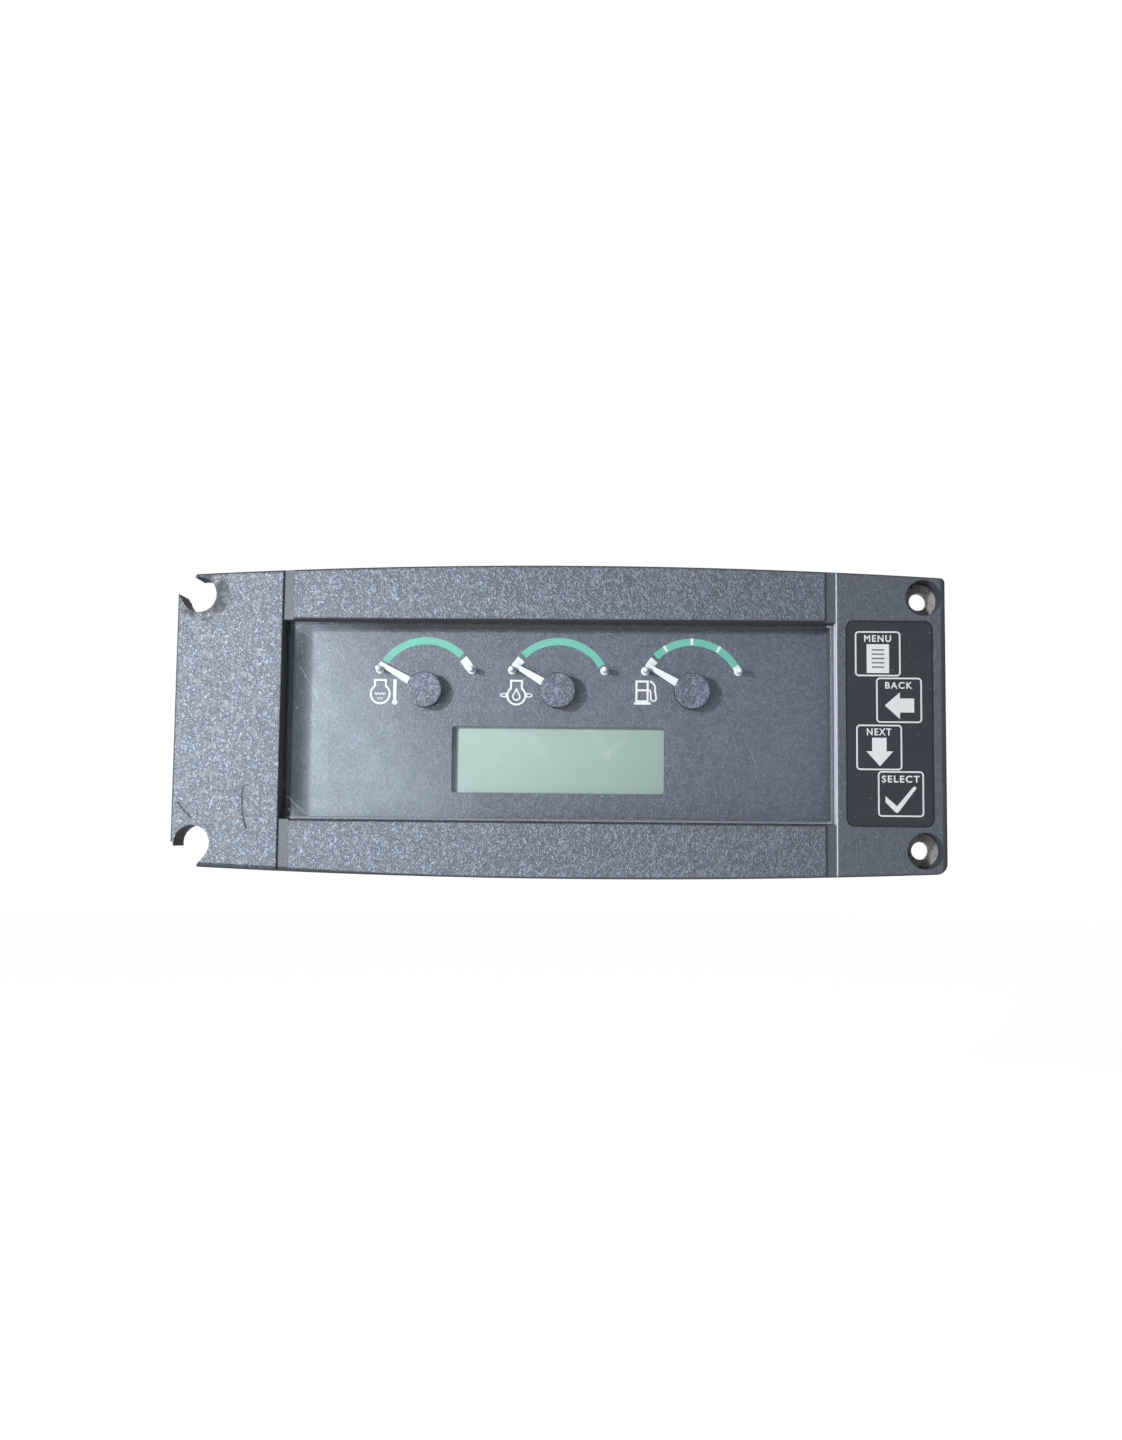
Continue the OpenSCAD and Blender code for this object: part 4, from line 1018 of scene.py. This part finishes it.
@dataclass
class Gauge:
    """One pointer gauge: its works, needle and cap, and its printed scale and symbol, in millimetres and degrees.

    Attributes:
        symbol: what it measures, which also names its parts.
        x: how far its spindle is from the dial's middle.
        green: where each stretch of the green band starts and ends.
        blocks: where each wide white block starts and ends.
        ticks: where each thin white tick stands.
        z: the spindle's height.
        green_radii: the green band's inner and outer radius.
        block_radii: the white blocks' radii.
        line: the width of the symbol's lines.
    """

    symbol: Symbol
    x: float
    green: tuple[Point, ...]
    blocks: tuple[Point, ...]
    ticks: tuple[Point, ...] = ()
    z: float = 12.1
    green_radii: Point = (17.6, 20.3)
    block_radii: Point = (17.0, 20.15)
    line: float = 0.72

    def dress(self) -> None:
        """Gives the gauge's parts their finishes."""
        for finish, part in ((WHITE_PLASTIC, "needle"), (CAP_PLASTIC, "hub_cap"), (SPINDLE, "spindle"),
                             (FERRITE, "magnet"), (BLACK_PLASTIC, "movement")):
            dress(finish, f"{self.symbol.value}_{part}")

    def build(self) -> None:
        """Prints the green band, the white marks and the symbol."""
        face_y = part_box("dial_plate")[0].y
        centre = (self.x, self.z)
        band = PrintSheet(self.symbol.value + "_green_band")
        for angles in self.green:
            band.arc_band(centre, self.green_radii, angles)
        band.lay(face_y, GREEN_INK)
        marks = PrintSheet(self.symbol.value + "_white_marks")
        for angles in self.blocks:
            marks.arc_band(centre, self.block_radii, angles)
        for angles in self.ticks:
            marks.arc_band(centre, (self.green_radii[0] + 0.2, self.green_radii[1] + 0.1), angles)
        draw = {Symbol.TEMPERATURE: self.draw_temperature, Symbol.OIL: self.draw_oil, Symbol.FUEL: self.draw_fuel}
        draw[self.symbol](marks)
        marks.lay(face_y, WHITE_INK)

    def draw_engine(self, sheet: PrintSheet, centre: Point, radius: float, neck: float, top: float) -> None:
        """Draws a round block outline with a square neck.

        Args:
            sheet: the print it goes on.
            centre: the round part's centre.
            radius: its outer radius.
            neck: half of the neck's outer width.
            top: the neck's top edge.
        """
        shoulder = math.degrees(math.acos(neck / radius))
        around = arc_points(centre, radius, 180 - shoulder, 360 + shoulder, 40)
        sheet.outline([(centre[0] + neck, top), (centre[0] - neck, top), *around], self.line)

    def draw_temperature(self, sheet: PrintSheet) -> None:
        """Draws the block with its coolant waves, and the thermometer beside it."""
        middle = (-67.23, 10.75)
        self.draw_engine(sheet, middle, 3.95, 2.42, 16.37)
        for level, reach, line in ((0.1, 2.05, 0.6), (0.1 - 1.75, 1.1, 0.35)):
            wave = [(middle[0] + reach * (i / 12 - 1), middle[1] + level + 0.27 * math.cos(i * math.pi / 4))
                    for i in range(25)]
            sheet.stroke(wave, line)
        stem, bulb = (-61.69, 16.28), (-61.65, 7.7)
        sheet.polygon([(stem[0] - 0.62, stem[1]), (stem[0] - 0.55, bulb[1] + 0.8),
                       (stem[0] + 0.55, bulb[1] + 0.8), (stem[0] + 0.62, stem[1])])
        sheet.disc(bulb, 1.02)

    def draw_oil(self, sheet: PrintSheet) -> None:
        """Draws the block with its drop of oil and the pipe stubs at its sides."""
        middle = (-15.75, 10.47)
        radius = 3.72
        self.draw_engine(sheet, middle, radius, 2.42, 16.44)
        bottom = (middle[0], middle[1] - 0.35)
        sheet.outline([(middle[0], middle[1] + 3.0), *arc_points(bottom, 1.6, 155, 385, 18)], 0.55)
        for side in (-1, 1):
            near, far = middle[0] + side * (radius + 0.02), middle[0] + side * (radius + 2.3)
            stub = [(near, middle[1] + 0.95), (near + side * 0.9, middle[1] + 1.0), (far, middle[1] + 0.62),
                    (far, middle[1] - 0.38), (near + side * 0.9, middle[1] - 0.75), (near, middle[1] - 0.7)]
            sheet.outline(stub[::side], 0.42)

    def draw_fuel(self, sheet: PrintSheet) -> None:
        """Draws the pump with its window, base, hose and nozzle."""
        low, high = (28.94, 8.23), (33.92, 16.51)
        line = self.line + 0.05
        sheet.outline([low, (high[0], low[1]), high, (low[0], high[1])], line)
        bar = 12.81
        sheet.polygon([(low[0] + line, bar - line / 2), (high[0] - line, bar - line / 2),
                       (high[0] - line, bar + line / 2), (low[0] + line, bar + line / 2)])
        sheet.polygon([(28.43, 7.42), (34.75, 7.42), (34.75, 8.22), (28.43, 8.22)])
        nozzle = [(34.45, 16.26), (35.31, 15.76), (35.96, 15.16), (36.41, 14.31), (36.46, 13.61), (36.36, 12.9),
                  (36.51, 11.9), (36.76, 10.69)]
        loop = arc_points((35.83, 9.79), 1.03, 0, -180, 12)
        hose = [*nozzle, *loop, (34.78, 11.0), (34.77, 11.9), (34.66, 12.4), (34.4, 12.75), (33.94, 12.85)]
        sheet.stroke(hose, line * 0.95)


class CharacterDisplay(Assembly):
    """The liquid-crystal module behind the dial's opening."""

    parts = {DISPLAY: "display_glass", FRAME_METAL: "display_frame", LIGHT_GUIDE: "display_light_guide",
             BOARD: "display_board", BLACK_PLASTIC: "display_header"}


@dataclass(frozen=True)
class Key:
    """One printed key: its name, its middle, and its word's box, in millimetres."""

    name: str
    centre: Point
    word_low: Point
    word_high: Point


@dataclass
class Keypad(Assembly):
    """The printed film with its four keys, the plungers and switches behind it, and their board.

    Attributes:
        keys: the printed keys from top to bottom.
        side: the outer side of a key's frame.
        radius: the frame's corner radius.
        line: the frame's line.
    """

    parts = {FILM: "keypad_overlay", KEY_PLASTIC: "menu_plunger back_plunger next_plunger select_plunger",
             BLACK_PLASTIC: "key_switches", BOARD: "keypad_board", SCREW: "keypad_screws",
             SOCKET: "keypad_sockets", RIBBON: "keypad_ribbon"}
    keys: tuple[Key, ...] = (
        Key("MENU", (116.45, 25.3), (111.6, 29.6), (121.3, 32.1)),
        Key("BACK", (124.0, 8.4), (119.05, 12.55), (128.85, 15.05)),
        Key("NEXT", (116.75, -8.75), (112.35, -4.4), (121.17, -1.85)),
        Key("SELECT", (124.42, -25.5), (117.6, -21.4), (131.15, -18.85)))
    side: float = 16.45
    radius: float = 1.4
    line: float = 0.55

    def build(self) -> None:
        """Prints each key's frame, word and sign on the film."""
        face_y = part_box("keypad_overlay")[0].y
        signs = {"MENU": self.draw_page, "BACK": self.draw_left_arrow, "NEXT": self.draw_down_arrow,
                 "SELECT": self.draw_tick}
        for key in self.keys:
            sheet = PrintSheet(key.name.lower() + "_print")
            sheet.rounded_frame(key.centre, self.side, self.radius, self.line)
            sheet.word(key.name, key.word_low, key.word_high)
            signs[key.name](sheet)
            sheet.lay(face_y, WHITE_INK)
        self.print_page_lines(face_y - (PrintSheet.THICKNESS - 2 * PrintSheet.SUNK) * MM)

    def draw_page(self, sheet: PrintSheet) -> None:
        """Draws the sheet of paper."""
        sheet.polygon([(112.46, 18.25), (120.55, 18.25), (120.55, 28.78), (112.46, 28.78)])

    def print_page_lines(self, face_y: float) -> None:
        """Prints the five grey lines on the sheet of paper."""
        lines = PrintSheet("menu_page_lines")
        for row in range(5):
            level = 26.7 - row * 1.57
            lines.polygon([(114.3, level - 0.25), (118.8, level - 0.25), (118.8, level + 0.25),
                           (114.3, level + 0.25)])
        lines.lay(face_y, GREY_INK)

    def draw_left_arrow(self, sheet: PrintSheet) -> None:
        """Draws the arrow that points left."""
        tip, neck, end = (118.85, 6.5), 124.3, 129.4
        sheet.polygon([tip, (neck, 1.55), (neck, 3.95), (end, 3.95), (end, 9.06), (neck, 9.06), (neck, 11.26)])

    def draw_down_arrow(self, sheet: PrintSheet) -> None:
        """Draws the arrow that points down."""
        tip, neck, top = (117.0, -15.6), -10.15, -5.26
        sheet.polygon([tip, (121.75, neck), (119.4, neck), (119.4, top), (114.2, top), (114.2, neck),
                       (112.15, neck)])

    def draw_tick(self, sheet: PrintSheet) -> None:
        """Draws the tick."""
        sheet.polygon([(118.87, -26.3), (118.86, -28.45), (122.4, -32.1), (123.0, -32.35), (123.6, -31.9),
                       (130.0, -23.35), (129.45, -22.75), (128.75, -23.0), (122.96, -29.9)])


class Electronics(Assembly):
    """The main board behind the gauges."""

    parts = {BOARD: "main_board", BLACK_PLASTIC: "board_chips", CAN: "board_capacitors", SCREW: "board_screws"}


@dataclass
class Studio:
    """The camera, the lamps, the pale floor and the white surroundings.

    Attributes:
        eye: the camera's place.
        aim: the point that it looks at.
        roll: its turn about its own axis, in degrees.
        focal: its focal length in millimetres, on a 36 mm sensor.
        lamps: each lamp's place, its width and height, and its power in watts.
        ambient: the brightness of the surroundings for everything but the camera and reflections.
        floor_z: the floor's height.
        floor_radius: its radius.
        floor_colour: its colour.
        floor_lift: how much of the floor's own white the camera and reflections see.
    """

    eye: Vector = Vector((0.01995, -0.51255, -0.03978))
    aim: Vector = Vector((0.00169, -0.0125, 0.00023))
    roll: float = 0.63
    focal: float = 34.43
    lamps: ClassVar[dict[str, tuple[Vector, Point, float]]] = {
        "key": (Vector((-0.385, -0.50, 0.105)), (0.05, 0.08), 4.25),
        "low_fill": (Vector((-0.26, -0.45, -0.06)), (0.12, 0.2), 0.8),
        "rear_fill": (Vector((0.30, 0.75, 0.45)), (0.5, 0.5), 3.0)}
    ambient: float = 0.11
    floor_z: float = -0.30
    floor_radius: float = 4.0
    floor_colour: Colour = (0.85, 0.85, 0.85)
    floor_lift: float = 0.89

    def build(self) -> None:
        """Sets up everything that isn't part of the object."""
        self.place_camera()
        for name, lamp in self.lamps.items():
            self.place_lamp(name, *lamp)
        self.light_surroundings()
        self.lay_floor()

    def place_camera(self) -> None:
        """Puts the camera where the photograph was taken from."""
        data = bpy.data.cameras.new("camera")
        data.lens = self.focal
        data.sensor_width = 36.0
        camera = add_object("camera", data)
        towards = (self.aim - self.eye).to_track_quat("-Z", "Y")
        turn = Quaternion((0.0, 0.0, 1.0), math.radians(self.roll))
        camera.matrix_world = Matrix.Translation(self.eye) @ (towards @ turn).to_matrix().to_4x4()
        bpy.context.scene.camera = camera

    def place_lamp(self, name: str, place: Vector, size: Point, power: float) -> None:
        """Adds an oval area lamp that faces the object.

        Args:
            name: the lamp's name.
            place: where it is.
            size: its width and height.
            power: its power in watts.
        """
        data = bpy.data.lights.new(name, "AREA")
        data.shape = "ELLIPSE"
        data.size, data.size_y = size
        data.energy = power
        lamp = add_object(name, data)
        turn = (-place).to_track_quat("-Z", "Y").to_matrix().to_4x4()
        lamp.matrix_world = Matrix.Translation(place) @ turn

    def seen_directly(self, graph: Graph) -> Socket:
        """Returns 1 for camera, glossy and transmission rays."""
        rays = graph.node("LightPath").outputs
        return graph.highest(rays["Is Camera Ray"], rays["Is Glossy Ray"], rays["Is Transmission Ray"])

    def light_surroundings(self) -> None:
        """Makes the world white to the eye and a soft grey for its light."""
        world = bpy.data.worlds.new("studio")
        graph = Graph.of(world)
        colour = graph.mix(self.seen_directly(graph), (self.ambient,) * 3, WHITE)
        background = graph.node("Background", {"Color": colour, "Strength": 1.0})
        graph.node("OutputWorld", {"Surface": background.outputs[0]})
        bpy.context.scene.world = world

    def lay_floor(self) -> None:
        """Lays a wide pale floor that keeps the object's shadow."""
        shape = bmesh.new()
        bmesh.ops.create_circle(shape, cap_ends=True, segments=48, radius=self.floor_radius,
                                matrix=Matrix.Translation((0.0, 0.0, self.floor_z)))
        mesh = bpy.data.meshes.new("floor")
        shape.to_mesh(mesh)
        shape.free()
        floor = add_object("floor", mesh)
        material = bpy.data.materials.new("pale floor")
        paint = Paint.of(material)
        lift = paint.product(self.seen_directly(paint), self.floor_lift)
        paint.surface({"Base Color": (*self.floor_colour, 1.0), "Roughness": 0.9, "Specular IOR Level": 0.0,
                       "Emission Color": paint.mix(lift, BLACK, WHITE), "Emission Strength": 1.0})
        mesh.materials.append(material)


def main() -> None:
    """Builds the studio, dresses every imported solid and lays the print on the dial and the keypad."""
    logging.basicConfig(level=logging.INFO, format="%(name)s: %(message)s")
    bpy.context.scene.view_settings.view_transform = "Standard"
    Studio().build()
    Housing().dress()
    Window().dress()
    gauges = (
        Gauge(Symbol.TEMPERATURE, -50.0, green=((145.0, 45.0),), blocks=((41.0, 27.0),)),
        Gauge(Symbol.OIL, 0.0, green=((134.0, 31.0),), blocks=((150.0, 139.0),)),
        Gauge(Symbol.FUEL, 50.0, green=((135.0, 122.5), (119.5, 91.5), (88.5, 60.1), (57.1, 31.0)),
              blocks=((150.0, 139.0),), ticks=((122.5, 119.5), (91.5, 88.5), (60.1, 57.1), (31.0, 28.0))))
    for gauge in gauges:
        gauge.dress()
        gauge.build()
    CharacterDisplay().dress()
    keypad = Keypad()
    keypad.dress()
    keypad.build()
    Electronics().dress()


if __name__ == "__main__":
    main()
